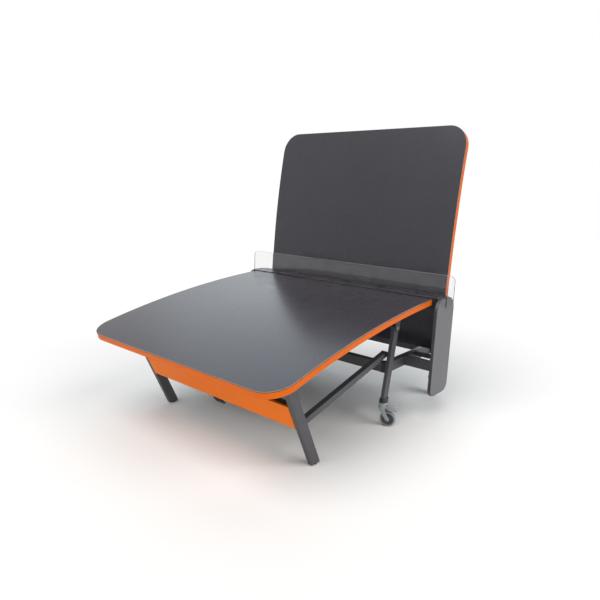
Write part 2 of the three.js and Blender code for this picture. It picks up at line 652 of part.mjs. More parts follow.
// ---------------------------------------------------------------- outer legs
// Places on a leg are given by a distance down it from its pivot and a depth behind its front face.

const legDown = turned(point(0, -1), -LEG_DEGREES); // along the leg, towards the foot
const legBack = turned(point(-1, 0), -LEG_DEGREES); // square to it, towards the net

function onLeg(down, behind) {
  const back = behind - LEG_DEPTH / 2;
  return point(
    LEG_PIVOT.u + legDown.x * down + legBack.x * back,
    LEG_PIVOT.z + legDown.y * down + legBack.y * back,
  );
}

// A four-cornered outline on the leg between two distances and two depths.
function legOutline(down0, down1, behind0, behind1) {
  return [onLeg(down0, behind0), onLeg(down0, behind1), onLeg(down1, behind1), onLeg(down1, behind0)];
}

const LEG_LENGTH = (LEG_PIVOT.z - FOOT_HEIGHT - FIT) / -legDown.y;

// Where the leg's pivot goes when the half is folded.
const fold = THREE.MathUtils.degToRad(FOLD_DEGREES);
const foldedLegPivot = point(LEG_PIVOT.u, LEG_PIVOT.z).rotateAround(
  point(FOLD_PIVOT.u, FOLD_PIVOT.z),
  fold,
);

// How far down the leg its strut bolts on, so that leg and strut just reach when the half is folded.
function strutPlace() {
  const strutPivot = point(STRUT_PIVOT.u, STRUT_PIVOT.z);
  const reach = foldedLegPivot.distanceTo(strutPivot) + STRUT_SPARE;
  const apart = point(LEG_PIVOT.u, LEG_PIVOT.z).sub(strutPivot);
  return (reach ** 2 - apart.lengthSq()) / (2 * (apart.dot(legDown) + reach));
}

const STRUT_FROM_LEG_PIVOT = strutPlace();
const strutBoltPoint = onLeg(STRUT_FROM_LEG_PIVOT, LEG_DEPTH / 2);
const STRUT_BOLT = { u: strutBoltPoint.x, z: strutBoltPoint.y };

// An outer leg: a flat tube, round at its pivot, open and cut level at its foot.
function outerLeg() {
  const x0 = LEG_X - LEG_WIDTH / 2;
  const x1 = LEG_X + LEG_WIDTH / 2;
  const end = onLeg(LEG_LENGTH, LEG_DEPTH / 2);
  const foot = { u: end.x, z: end.y };
  const start = onLeg(LEG_DEPTH, LEG_DEPTH / 2);
  const past = onLeg(LEG_LENGTH + LEG_DEPTH, LEG_DEPTH / 2);
  const from = { u: start.x, z: start.y };
  const outside = roundedBar(LEG_PIVOT, foot, LEG_DEPTH, true);
  const inside = roundedBar(from, { u: past.x, z: past.y }, LEG_DEPTH - 2 * LEG_WALL, true);
  return cut(
    across(outside, x0, x1),
    across(inside, x0 + LEG_WALL, x1 - LEG_WALL),
    bar(LEG_PIVOT_RADIUS + FIT, x0 - PAST, x1 + PAST, LEG_PIVOT),
  );
}

// The foot: a round glide on a plug that fills the leg's end.
function foot() {
  const centre = onLeg(LEG_LENGTH, LEG_DEPTH / 2).x;
  const half = (LEG_DEPTH / 2 - LEG_WALL - FIT) / -legDown.y;
  const lean = legDown.x / legDown.y;
  const root = centre - FIT * lean;
  const rise = FOOT_PLUG * lean;
  const plug = [
    point(root - half, FOOT_HEIGHT),
    point(root + half, FOOT_HEIGHT),
    point(root + half + rise, FOOT_HEIGHT + FOOT_PLUG),
    point(root - half + rise, FOOT_HEIGHT + FOOT_PLUG),
  ];
  const side = LEG_WIDTH / 2 - LEG_WALL - FIT;
  return join(
    post(GLIDE_RADIUS, LEG_X, centre, 0, FOOT_HEIGHT),
    across(plug, LEG_X - side, LEG_X + side),
  );
}

// The tube that ties the two legs together.
function crossbar() {
  const x = LEG_X - LEG_WIDTH / 2 - FIT;
  const down1 = CROSSBAR_FROM_PIVOT + CROSSBAR_HEIGHT;
  const front = (LEG_DEPTH - CROSSBAR_DEPTH) / 2;
  const back = front + CROSSBAR_DEPTH;
  return cut(
    across(legOutline(CROSSBAR_FROM_PIVOT, down1, front, back), -x, x),
    across(
      legOutline(CROSSBAR_FROM_PIVOT + LEG_WALL, down1 - LEG_WALL, front + LEG_WALL, back - LEG_WALL),
      -x - PAST,
      x + PAST,
    ),
  );
}

const PANEL_END = PANEL_FROM_PIVOT + PANEL_HEIGHT;
const HANDLE_DOWN = PANEL_END - HANDLE_PIN_RISE; // the handle's pin, behind the panel's lower edge
const earX = HANDLE_WIDTH / 2 + FIT;

// The panel: a shallow folded tray between the legs, open behind, with tabs to the crossbar and ears
// for the handle.
function frontPanel() {
  const half = LEG_X - LEG_WIDTH / 2 - PANEL_GAP;
  const face = -PANEL_AHEAD;
  const back = face + PANEL_DEPTH;
  const sheet = PANEL_SHEET;
  const hollow = legOutline(PANEL_FROM_PIVOT + sheet, PANEL_END - sheet, face + sheet, back + PAST);
  const doorway = legOutline(PANEL_END - sheet - PAST, PANEL_END + PAST, face + sheet + FIT, back + PAST);
  const tray = cut(
    across(legOutline(PANEL_FROM_PIVOT, PANEL_END, face, back), -half, half),
    across(hollow, -half + sheet, half - sheet),
    across(doorway, -earX, earX),
  );
  const tabEnd = (LEG_DEPTH - CROSSBAR_DEPTH) / 2 - FIT;
  const tabTop = PANEL_FROM_PIVOT + PANEL_TAB_DROP;
  const tabs = [-1, 1].map((side) =>
    across(
      legOutline(tabTop, tabTop + sheet * 2, face + sheet / 2, tabEnd),
      side * PANEL_TAB_X - PANEL_TAB_WIDTH / 2,
      side * PANEL_TAB_X + PANEL_TAB_WIDTH / 2,
    ),
  );
  const pin = onLeg(HANDLE_DOWN, HANDLE_BEHIND - PANEL_AHEAD);
  const ear = legOutline(HANDLE_DOWN - HANDLE_EAR_ROOT, PANEL_END - sheet / 2, face + sheet / 2, back);
  const ears = [-earX - HANDLE_EAR, earX].map((x) =>
    cut(
      across(ear, x, x + HANDLE_EAR),
      bar(HANDLE_PIN_RADIUS + FIT, x - PAST, x + HANDLE_EAR + PAST, { u: pin.x, z: pin.y }, SMALL_ROUND),
    ),
  );
  return join(tray, ...tabs, ...ears);
}

// The release handle: a ribbed plate that hangs from a pin behind the panel.
function releaseHandle() {
  const half = HANDLE_WIDTH / 2;
  const pin = onLeg(HANDLE_DOWN, HANDLE_BEHIND - PANEL_AHEAD);
  const centre = { u: pin.x, z: pin.y };
  const end = PANEL_END + HANDLE_DROP;
  const front = HANDLE_BEHIND - PANEL_AHEAD - HANDLE_SHEET / 2;
  const plate = across(legOutline(HANDLE_DOWN, end, front, front + HANDLE_SHEET), -half, half);
  const lip = across(legOutline(end - HANDLE_SHEET, end, front, front + HANDLE_LIP), -half, half);
  const corner = legOutline(end - HANDLE_NOTCH, end + PAST, front - PAST, front + HANDLE_LIP + PAST);
  const pinEnd = half + HANDLE_EAR + 2 * FIT;
  return join(
    cut(join(plate, lip), across(corner, -half - PAST, -half + HANDLE_NOTCH)),
    bar(HANDLE_BARREL, -half, half, centre),
    bar(HANDLE_PIN_RADIUS, -pinEnd, pinEnd, centre, SMALL_ROUND),
  );
}

// ---------------------------------------------------------------- struts

// The strut: a square tube with round solid ends, from the caster leg's pin to the outer leg's bolt.
function strut() {
  const x0 = STRUT_X - STRUT_SIZE / 2;
  const x1 = STRUT_X + STRUT_SIZE / 2;
  const along = point(STRUT_BOLT.u - STRUT_PIVOT.u, STRUT_BOLT.z - STRUT_PIVOT.z);
  const length = along.length();
  const unit = along.normalize();
  const side = point(-unit.y, unit.x).multiplyScalar(STRUT_SIZE / 2);
  const outline = [];
  for (let i = 0; i <= ROUND / 2; i++) {
    const arm = turned(side, 180 * (i / (ROUND / 2)));
    outline.push(point(STRUT_PIVOT.u + arm.x, STRUT_PIVOT.z + arm.y));
  }
  for (let i = 0; i <= ROUND / 2; i++) {
    const arm = turned(side, 180 + 180 * (i / (ROUND / 2)));
    outline.push(point(STRUT_BOLT.u + arm.x, STRUT_BOLT.z + arm.y));
  }
  const at = (distance, offset) =>
    point(
      STRUT_PIVOT.u + unit.x * distance + (side.x * offset) / (STRUT_SIZE / 2),
      STRUT_PIVOT.z + unit.y * distance + (side.y * offset) / (STRUT_SIZE / 2),
    );
  const hollow = STRUT_SIZE / 2 - LEG_WALL;
  const inside = [
    at(STRUT_PLUG, -hollow),
    at(length - STRUT_PLUG, -hollow),
    at(length - STRUT_PLUG, hollow),
    at(STRUT_PLUG, hollow),
  ];
  const drain = at(STRUT_DRAIN, -STRUT_SIZE / 2);
  const depth = 2 * LEG_WALL;
  return cut(
    across(outline, x0, x1),
    across(inside, x0 + LEG_WALL, x1 - LEG_WALL),
    post(DRAIN_RADIUS / 2, STRUT_X, drain.x, drain.y - depth, drain.y + depth, SMALL_ROUND),
    bar(STRUT_PIVOT_RADIUS + FIT, x0 - PAST, x1 + PAST, STRUT_PIVOT),
    bar(STRUT_PIVOT_RADIUS + FIT, x0 - PAST, x1 + PAST, STRUT_BOLT),
  );
}

// The strut's outer bolt, which stops short of the leg that it locks to in play.
function strutBolt() {
  const x0 = STRUT_X - STRUT_SIZE / 2 - FIT;
  const legFace = LEG_X - LEG_WIDTH / 2 - FIT;
  return join(
    bar(STRUT_PIVOT_RADIUS, x0 - PAST, legFace, STRUT_BOLT),
    bar(STRUT_BOLT_HEAD, x0 - HEAD_HEIGHT, x0, STRUT_BOLT, HEX),
  );
}

// ---------------------------------------------------------------- how the linkage folds

// Where the strut's bolt goes when the half is folded, and the turns that take it there.
function foldedTurns() {
  const base = point(STRUT_PIVOT.u, STRUT_PIVOT.z);
  const strutLength = Math.hypot(STRUT_BOLT.u - STRUT_PIVOT.u, STRUT_BOLT.z - STRUT_PIVOT.z);
  const span = foldedLegPivot.clone().sub(base);
  const reach = span.length();
  const squares = strutLength ** 2 + reach ** 2 - STRUT_FROM_LEG_PIVOT ** 2;
  const strutAngle = span.angle() - Math.acos(squares / (2 * strutLength * reach));
  const bolt = turned(point(strutLength, 0), THREE.MathUtils.radToDeg(strutAngle)).add(base);
  const strutStart = Math.atan2(STRUT_BOLT.z - STRUT_PIVOT.z, STRUT_BOLT.u - STRUT_PIVOT.u);
  const legStart = Math.atan2(legDown.y, legDown.x);
  const legEnd = Math.atan2(bolt.y - foldedLegPivot.y, bolt.x - foldedLegPivot.x);
  return { strut: strutAngle - strutStart, leg: legEnd - legStart - fold };
}

const turns = foldedTurns();

// A group that turns what it holds about an axis across the table.
function turningGroup(parent, pivot, angle) {
  const outer = new THREE.Group();
  const inner = new THREE.Group();
  outer.position.set(0, pivot.u, pivot.z);
  outer.rotation.x = angle;
  inner.position.set(0, -pivot.u, -pivot.z);
  outer.add(inner);
  parent.add(outer);
  return inner;
}

// ---------------------------------------------------------------- finishes

const POWDER_COAT = { color: 0x4b4b50, roughness: 0.55, metalness: 0.2 };
const SURFACE = { color: 0x3f3e43, roughness: 0.5, metalness: 0 };
const ORANGE = { color: 0xee7227, roughness: 0.5, metalness: 0 };
const PLATE_GREY = { color: 0x737579, roughness: 0.55, metalness: 0 };
const BLACK_PLASTIC = { color: 0x2b2b2e, roughness: 0.6, metalness: 0 };
const CASTER_GREY = { color: 0x9aa3a8, roughness: 0.45, metalness: 0 };
const TYRE_GREY = { color: 0x6d7074, roughness: 0.7, metalness: 0 };
const CLEAR = { color: 0xdfe3e6, roughness: 0.1, metalness: 0, transparent: true, opacity: 0.35 };
const ZINC = { color: 0x8d9296, roughness: 0.4, metalness: 0.8 };

// ---------------------------------------------------------------- assembly

const table = new THREE.Group();
const model = new THREE.Group();
table.add(model);

model.add(mesh("base_frame", baseFrame(), POWDER_COAT));
model.add(mesh("centre_beam", centreBeam(), SURFACE));
model.add(mesh("net", netPanel(), CLEAR));

// Adds a copy of a right-hand piece at each side, mirrored by turning or by its own symmetry.
function mirrored(body, side) {
  return side > 0 ? body : body.mirror([1, 0, 0]);
}

for (const [sideName, side] of Object.entries(SIDES)) {
  model.add(mesh(`side_plate_${sideName}`, mirrored(sidePlate(), side), PLATE_GREY));
}

for (const [endName, end] of Object.entries({ front: -1, rear: 1 })) {
  const facing = new THREE.Group();
  facing.rotation.z = end > 0 ? 0 : Math.PI;
  model.add(facing);
  const folded = end > 0 ? 1 : 0;
  const half = turningGroup(facing, FOLD_PIVOT, folded * fold);
  const legs = turningGroup(half, LEG_PIVOT, folded * turns.leg);
  const struts = turningGroup(facing, STRUT_PIVOT, folded * turns.strut);
  half.add(mesh(`${endName}_board`, board(), SURFACE));
  half.add(mesh(`${endName}_edge_band`, edgeBand(), ORANGE));
  legs.add(mesh(`${endName}_crossbar`, crossbar(), POWDER_COAT));
  legs.add(mesh(`${endName}_panel`, frontPanel(), ORANGE));
  legs.add(mesh(`${endName}_handle`, releaseHandle(), BLACK_PLASTIC));
  for (const [sideName, side] of Object.entries(SIDES)) {
    const hand = side * end; // the front half is turned right round
    const tag = `${endName}_${sideName}`;
    const foldBracket = bracket(FOLD_PIVOT, CASTER_LEG_X, CASTER_LEG_WIDTH, PIVOT_RADIUS);
    const legBracket = bracket(LEG_PIVOT, LEG_X, LEG_WIDTH, LEG_PIVOT_RADIUS);
    half.add(mesh(`${tag}_fold_bracket`, mirrored(foldBracket, hand), POWDER_COAT));
    half.add(mesh(`${tag}_leg_bracket`, mirrored(legBracket, hand), POWDER_COAT));
    legs.add(mesh(`${tag}_leg`, mirrored(outerLeg(), hand), POWDER_COAT));
    legs.add(mesh(`${tag}_foot`, mirrored(foot(), hand), BLACK_PLASTIC));
    struts.add(mesh(`${tag}_strut`, mirrored(strut(), hand), POWDER_COAT));
    struts.add(mesh(`${tag}_strut_bolt`, mirrored(strutBolt(), hand), ZINC));
    facing.add(mesh(`${tag}_caster_leg`, mirrored(casterLeg(), hand), POWDER_COAT));
    facing.add(mesh(`${tag}_collar`, mirrored(collar(), hand), BLACK_PLASTIC));
    const caster = new THREE.Group();
    caster.position.set(side * CASTER_LEG_X, end * CASTER_LEG_FOOT.u, 0);
    caster.rotation.z = THREE.MathUtils.degToRad(CASTER_HEADING[endName] - 90);
    model.add(caster);
    caster.add(mesh(`${tag}_caster_fork`, fork(), CASTER_GREY));
    caster.add(mesh(`${tag}_caster_wheel`, wheel(), TYRE_GREY));
    caster.add(mesh(`${tag}_caster_pedal`, pedal(), CASTER_GREY));
  }
}

// The origin is on the floor, at the middle of the box round the table.
const box = new THREE.Box3().setFromObject(table, true);
model.position.y = -(box.min.y + box.max.y) / 2;

export default table;
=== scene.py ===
import json
import math

import bmesh
import bpy
import numpy as np
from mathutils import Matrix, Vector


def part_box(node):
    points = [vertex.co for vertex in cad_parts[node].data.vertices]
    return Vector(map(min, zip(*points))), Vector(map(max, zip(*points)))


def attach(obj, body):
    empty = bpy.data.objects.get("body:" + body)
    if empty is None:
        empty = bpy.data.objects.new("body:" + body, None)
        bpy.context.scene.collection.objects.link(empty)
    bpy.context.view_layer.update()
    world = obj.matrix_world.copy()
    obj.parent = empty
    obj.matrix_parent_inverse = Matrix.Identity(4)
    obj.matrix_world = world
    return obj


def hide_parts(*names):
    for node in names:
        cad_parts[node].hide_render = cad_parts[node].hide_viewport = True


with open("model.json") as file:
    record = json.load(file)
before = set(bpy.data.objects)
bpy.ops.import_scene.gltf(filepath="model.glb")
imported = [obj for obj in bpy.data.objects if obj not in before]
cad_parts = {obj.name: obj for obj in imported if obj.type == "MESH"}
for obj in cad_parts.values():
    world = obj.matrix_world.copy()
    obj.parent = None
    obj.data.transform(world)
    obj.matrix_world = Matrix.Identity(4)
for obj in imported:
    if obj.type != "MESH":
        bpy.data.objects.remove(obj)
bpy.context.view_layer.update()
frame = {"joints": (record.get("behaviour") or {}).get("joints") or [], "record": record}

MM = 0.001
SAME_PLACE = 1e-6  # points closer than this, in metres, are one

# ---- playing surface and edge ----
TABLE_LENGTH = 3000
TABLE_WIDTH = 1500
PEAK_HEIGHT = 785.4
INNER_SLOPE = 0.0455
END_DROP = 238.5
TIP_DROP = 16
INNER_EDGE = 81.4  # the boards' inner edge, from the net line
BOARD_THICKNESS = 38.7
LAMINATE = 4
CORE_OVERLAP = 1  # how far the core reaches up into the laminate
BAND_THICKNESS = 3
BAND_GROOVE = 2.2  # the groove under the laminate, its floor black as painted shade: its depth, and its height
GROOVE_HEIGHT = 3.2
CORNER_RADIUS = 130
INNER_CORNER_RADIUS = 6
# ---- caster legs, collars and casters ----
CASTER_LEG_X = 610
CASTER_LEG_WIDTH = 25
CASTER_LEG_DEPTH = 50
CASTER_FOOT = (345, 156)  # where the leg's middle line meets its foot, as (u, z)
CASTER_LEG_LIFT = 2  # the tube's cut end over that foot
CASTER_LEG_ROUNDING = 4
COLLAR_RADIUS = 29
COLLAR_TOP = 179.7
COLLAR_BOTTOM = 149.7
COLLAR_MOUTH = np.array([15.6, 28.4])  # half the mouth's width and depth
COLLAR_MOUTH_RADIUS = 9
COLLAR_SHOULDER = 0.7  # the share of its height at which the shoulder starts
COLLAR_BRIM = 0.93  # the mouth's size inside its brim
COLLAR_WELL = 2.5  # how far the mouth is sunk there
WHEEL_RADIUS = 48
WHEEL_WIDTH = 30
TREAD_ROUNDING = 6
TYRE_BORE = 36.4
CASTER_TRAIL = 32
CASTER_HEADING = {"front": 20, "rear": 125}
FORK_TOP = 149.4
FORK_INNER = 18
FORK_OUTER = 23
FORK_CAP_RADIUS = 29
FORK_WALL = (28.9, 25.2)  # outer and inner radius of the wall under the cap
WALL_ARC = (195, 345)  # where that wall starts and stops, in degrees
WALL_LOW = 112  # its lower edge in the middle, and how much higher that is at both ends
WALL_RISE = 10
STEM_RADIUS = 7
STEM_TOP = 155.5
ARM_TOP = np.array([-5.0, 143.0])  # the arm's middle line starts here and bends towards its elbow, (u, z)
ARM_ELBOW = np.array([-8.0, 100.0])
ARM_HALF = 22  # half the arm's width at its top
ARM_END_RADIUS = 11.5
ARM_LEAST = 1.2  # the least thickness, and how far the outer face's edges are eased
ARM_EASE = 1.4
AXLE_RADIUS = 5.8
AXLE_CAP_RADIUS = 7.5
PEDAL_HALF = 21.5
# ---- base frame ----
RAIL_TOP = 385
RAIL_HEIGHT = 65
RAIL_WIDTH = 40
RAIL_OUTER = 597.2
CROSS_RAIL_OUTER = 310
OUTRIGGER_OUTER = 77
OUTRIGGER_WIDTH = 25
REAR_OUTRIGGER_HEIGHT = 28
TUBE_WALL = 2.5
PLUG_DEPTH = 6
PLUG_PROUD = 1.2
OUTRIGGER_ROUNDING = 3
BEAD_RADIUS = 2.2  # a bead of weld, whose middle stands off the tube
BEAD_OFF = 0.4
BEAD_POINTS = 12  # points on each side of the tube
BEAD_RIPPLE = 0.12  # the share of its radius by which it swells and shrinks
BEAD_WAVE = 2.1  # radians of that ripple for each point
# ---- net, centre beam and side plates ----
NET_HALF_LENGTH = 850
NET_THICKNESS = 10
NET_TOP = 925.4
NET_BOTTOM = 722
NET_CORNER = 36
BEAM_BOTTOM = 712
BEAM_CLEARANCE = 4  # between the beam's flanks and the sweep of the boards' inner edges
MOUTH_GAP = 3.4  # between the net's front and the plates' slot, down to a ledge over the net's lower edge
MOUTH_LEDGE = 9
SIDE_PLATE_X = 785.5
SIDE_PLATE_THICKNESS = 20
SIDE_PLATE_HALF = 120.5
SIDE_PLATE_BOTTOM = 161
SIDE_PLATE_TOP_RADIUS = 78
SIDE_PLATE_BOTTOM_RADIUS = 58
SIDE_PLATE_ROUNDING = 1.4
# ---- outer legs and what they carry ----
LEG_X = 596.7
LEG_WIDTH = 30
LEG_DEPTH = 60
LEG_DEGREES = 25.5
LEG_ROUNDING = 3
FOOT_HEIGHT = 5
GLIDE_RADIUS = 14.4
GLIDE_RIM_HALF = 12.5  # half the width of the plug's rim, which stays inside the tube's end
GLIDE_RIM_INSET = 2
GLIDE_PLUG_TOP = 14
CROSSBAR_DOWN = 166
CROSSBAR_DEPTH = 20
CROSSBAR_HEIGHT = 44
CROSSBAR_BEAD = 1.8
PANEL_DOWN = 162
PANEL_HEIGHT = 150
PANEL_DEPTH = 12
PANEL_HALF = 580.7
PANEL_AHEAD = 2
PANEL_SHEET = 2
PANEL_BEND = 2.5
PANEL_CORNER = 3
PANEL_TAB_X = 420
PANEL_TAB = (30, 4)  # width and height of the tabs that reach back to the crossbar
PANEL_TAB_DOWN = 6  # the tabs' top under the panel's
PANEL_EAR = (3, 18)  # thickness and height of the ears that hold the handle's pin
HAIR = 0.1  # keeps two of the tray's rings off one line
HANDLE_WIDTH = 82
HANDLE_DROP = 39
HANDLE_SHEET = 4
HANDLE_BEHIND = 7.3
HANDLE_LIP = 12
HANDLE_CUT = 10  # the square cut from its lower left corner
HANDLE_PIN_UP = 10  # its pin over the panel's lower edge
HANDLE_BARREL = 4.4
HANDLE_PIN = 3
HANDLE_PIN_OUT = 3.5  # how far the pin stands out of the barrel
RIB_STEP = 5.5
RIB_WIDTH = 2
# ---- struts, brackets and bolts ----
STRUT_X = 563
STRUT_SIZE = 35
STRUT_FROM_LEG_PIVOT = 329.07
STRUT_ROUNDING = 2.5
STRUT_BOSS = 13
STRUT_PIN = 8
STRUT_HEAD = 11
BRACKET_PLATE = 5
BRACKET_HALF = 25
BRACKET_BOLT = 7.6
HEAD_RADIUS = 12
HEAD_HEIGHT = 4
WASHER_RIM = 1.6
WASHER_HEIGHT = 1.2
FIT = 0.3

SIDES = {"left": -1, "right": 1}
ENDS = {"front": -1, "rear": 1}
CORNERS = [(end, side, f"{end}_{name}") for end in ENDS for name, side in SIDES.items()]

# ------------------------------------------------------------ where things are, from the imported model

record = frame["record"]
joints = {joint["name"]: joint for joint in frame["joints"]}
follows = {row["joint"]: row["ratio"] for row in record["behaviour"]["couplings"]}
net_low, net_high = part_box("net")
NET_LINE = (net_low.y + net_high.y) / 2 / MM


def pivot(name):
    """A front joint's axis as (u, z) in play, in millimetres."""
    place = joints[name]["pos_m"]
    return np.array([NET_LINE - place[1] / MM, place[2] / MM])


FOLD_PIVOT = pivot("front_fold")
LEG_PIVOT = pivot("front_leg_swing")
STRUT_PIVOT = pivot("front_left_strut_swing")
FOLD = joints["rear_fold"]["range_deg"][1]
LEG_TURN = FOLD * follows["rear_leg_swing"]
STRUT_TURN = FOLD * follows["rear_left_strut_swing"]


def turned(points, about, degrees):
    """Points (x, u, z) turned about an axis across the table at about = (u, z), u towards z: the new u is
    u cos a - z sin a and the new z is u sin a + z cos a, measured from the axis."""
    angle = math.radians(degrees)
    u = points[..., 1] - about[0]
    z = points[..., 2] - about[1]
    new_u = about[0] + u * math.cos(angle) - z * math.sin(angle)
    new_z = about[1] + u * math.sin(angle) + z * math.cos(angle)
    return np.stack([points[..., 0], new_u, new_z], -1)


def standing(end, carrier="base", across=0):
    """How points drawn in play are brought to where they rest: the rear half's turns for what rides on it,
    and then x moved by across and u measured from the net line towards its own end."""

    def place(points):
        if end == "rear" and carrier == "legs":
            points = turned(points, LEG_PIVOT, LEG_TURN)
        if end == "rear" and carrier in ("legs", "half"):
            points = turned(points, FOLD_PIVOT, FOLD)
        if end == "rear" and carrier == "strut":
            points = turned(points, STRUT_PIVOT, STRUT_TURN)
        y = NET_LINE + ENDS[end] * points[..., 1]
        return np.stack([points[..., 0] + across, y, points[..., 2]], -1)

    return place


def on_caster(end, side):
    """How points drawn round a caster's swivel axis, trailing towards +u, are brought to its place."""
    heading = math.radians(CASTER_HEADING[end] - 90)

    def place(points):
        x, u = points[..., 0], points[..., 1]
        across = x * math.cos(heading) - u * math.sin(heading)
        along = x * math.sin(heading) + u * math.cos(heading)
        y = NET_LINE + ENDS[end] * CASTER_FOOT[0] + along
        return np.stack([side * CASTER_LEG_X + across, y, points[..., 2]], -1)

    return place


def span(side, start, stop):
    """The stretch of x from start to stop on one side of the table, lowest first."""
    return sorted([side * start, side * stop])


# ------------------------------------------------------------ surfaces from grids


def skin(grid, finish=0, loop=False, ring=True, ends=(None, None)):
    """Four-sided faces over grid[row, column, xyz]. A ring joins its last column to the first, a loop joins
    its last row to the first, and ends = (first, last) closes an end row with one face of that finish. A
    finish is a number in the piece's list of materials; there may be one for each band between rows."""
    rows, columns = grid.shape[:2]
    index = np.arange(rows * columns).reshape(rows, columns)
    if loop:
        index = np.vstack([index, index[:1]])
    if ring:
        index = np.hstack([index, index[:, :1]])
    corners = [index[:-1, :-1], index[:-1, 1:], index[1:, 1:], index[1:, :-1]]
    quads = np.stack(corners, -1)
    finishes = np.broadcast_to(np.asarray(finish), quads.shape[:1])
    finishes = np.repeat(finishes, quads.shape[1])
    first = np.arange(columns)[::-1]
    last = np.arange(columns) + (rows - 1) * columns
    caps = [(line, end) for line, end in zip((first, last), ends) if end is not None]
    return {"points": grid.reshape(-1, 3), "quads": quads.reshape(-1, 4), "finish": finishes, "caps": caps}


def facing_out(points, quads, caps):
    """The faces, turned round if the volume that they enclose, summed as tetrahedra, is negative."""
    triangles = [quads[:, [0, 1, 2]], quads[:, [0, 2, 3]]]
    for line, _ in caps:
        fan = [np.full(len(line) - 2, line[0]), line[1:-1], line[2:]]
        triangles.append(np.stack(fan, -1))
    corner = (points - points.mean(0))[np.vstack(triangles)]
    volume = np.einsum("ij,ij->", corner[:, 0], np.cross(corner[:, 1], corner[:, 2]))
    if volume < 0:
        quads = quads[:, ::-1]
        caps = [(line[::-1], finish) for line, finish in caps]
    return quads, caps


def settle_normals(mesh, smooth):
    """Shading that keeps a wide flat face flat beside its rounded edge: the normal at a face's corner is the
    sum of area times normal over the faces round that vertex that lean from it by less than smooth
    degrees."""
    corners, faces = len(mesh.loops), len(mesh.polygons)
    vertex = np.zeros(corners, np.int32)
    total = np.zeros(faces, np.int32)
    area = np.zeros(faces, np.float32)
    normal = np.zeros(faces * 3, np.float32)
    mesh.loops.foreach_get("vertex_index", vertex)
    mesh.polygons.foreach_get("loop_total", total)
    mesh.polygons.foreach_get("area", area)
    mesh.polygons.foreach_get("normal", normal)
    normal = normal.reshape(-1, 3)
    face = np.repeat(np.arange(faces), total)
    order = np.argsort(vertex, kind="stable")
    count = np.bincount(vertex, minlength=len(mesh.vertices))
    start = np.concatenate([[0], np.cumsum(count)[:-1]])
    here = np.repeat(np.arange(corners), count[vertex])
    step = np.arange(len(here)) - np.repeat(np.cumsum(count[vertex]) - count[vertex], count[vertex])
    other = face[order[start[vertex[here]] + step]]
    near = (normal[face[here]] * normal[other]).sum(1) > math.cos(math.radians(smooth))
    share = normal[other] * (area[other] * near)[:, None]
    sums = np.stack([np.bincount(here, share[:, axis], corners) for axis in range(3)], -1)
    mesh.normals_split_custom_set(sums / np.linalg.norm(sums, axis=1)[:, None])


def build(name, body, place, skins, finishes, node, smooth=32, welded=False):
    """One object, which stands for a node, from several closed skins: each is placed, turned to face out and
    added to the mesh."""
    points, faces, numbers, start = [], [], [], 0
    for part in skins:
        placed = place(part["points"])
        quads, caps = facing_out(placed, part["quads"], part["caps"])
        points.append(placed)
        faces += (quads + start).tolist() + [(line + start).tolist() for line, _ in caps]
        numbers += part["finish"].tolist() + [finish for _, finish in caps]
        start += len(placed)
    mesh = bpy.data.meshes.new(name)
    mesh.from_pydata(np.vstack(points) * MM, [], faces)
    for finish in finishes:
        mesh.materials.append(finish)
    mesh.polygons.foreach_set("material_index", np.array(numbers, np.int32))
    mesh.polygons.foreach_set("use_smooth", np.ones(len(faces), bool))
    if welded:
        work = bmesh.new()
        work.from_mesh(mesh)
        bmesh.ops.remove_doubles(work, verts=work.verts, dist=SAME_PLACE)
        work.to_mesh(mesh)
        work.free()
    mesh.update()
    settle_normals(mesh, smooth)
    piece = bpy.data.objects.new(name, mesh)
    bpy.context.scene.collection.objects.link(piece)
    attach(piece, body)
    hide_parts(node)


# ------------------------------------------------------------ outlines


def drawn_in(outline, distance):
    """A closed outline, counter-clockwise, moved inwards: each corner goes distance along the mitre of the
    normals of its two edges, which is their sum over one plus their dot product."""
    edge = np.roll(outline, -1, 0) - outline
    edge = edge / np.linalg.norm(edge, axis=1)[:, None]
    after = np.stack([-edge[:, 1], edge[:, 0]], -1)
    before = np.roll(after, 1, 0)
    mitre = (before + after) / (1 + (before * after).sum(1))[:, None]
    return outline + mitre * distance


def counter_clockwise(outline):
    """The outline, reversed if the area that it encloses by the shoelace sum is negative."""
    after = np.roll(outline, -1, 0)
    area = (outline[:, 0] * after[:, 1] - after[:, 0] * outline[:, 1]).sum()
    return outline if area > 0 else outline[::-1]


def arc(centre, radius, start, stop, steps=8):
    """Points at equal angles on a circle, from start to stop in degrees."""
    angle = np.radians(np.linspace(start, stop, steps + 1))
    return np.stack([centre[0] + radius * np.cos(angle), centre[1] + radius * np.sin(angle)], -1)


def rounded_box(low, high, radii, steps=6):
    """A rectangle between two corners with a quarter circle at each, counter-clockwise from the lower
    left."""
    (x0, y0), (x1, y1) = low, high
    a, b, c, d = np.broadcast_to(radii, 4)
    return np.vstack([
        arc((x0 + a, y0 + a), a, 180, 270, steps),
        arc((x1 - b, y0 + b), b, 270, 360, steps),
        arc((x1 - c, y1 - c), c, 0, 90, steps),
        arc((x0 + d, y1 - d), d, 90, 180, steps),
    ])


def circle(centre, radius, steps=32):
    """A closed circle."""
    return arc(centre, radius, 0, 360, steps)[:-1]


def long_box(start, stop, width, round_start, round_stop, steps=12):
    """The outline of a bar between two points (u, z): a half circle round an end, or a square cut."""
    start, stop = np.array(start, float), np.array(stop, float)
    angle = math.degrees(math.atan2(*(stop - start)[::-1]))
    side = np.array([-math.sin(math.radians(angle)), math.cos(math.radians(angle))]) * width / 2
    first, last = [start + side, start - side], [stop - side, stop + side]
    if round_start:
        first = arc(start, width / 2, angle + 90, angle + 270, steps)
    if round_stop:
        last = arc(stop, width / 2, angle - 90, angle + 90, steps)
    return np.vstack([first, last])


# the angles of the rings that round a prism's end edges
EDGE = np.linspace(0, math.pi / 2, 4)


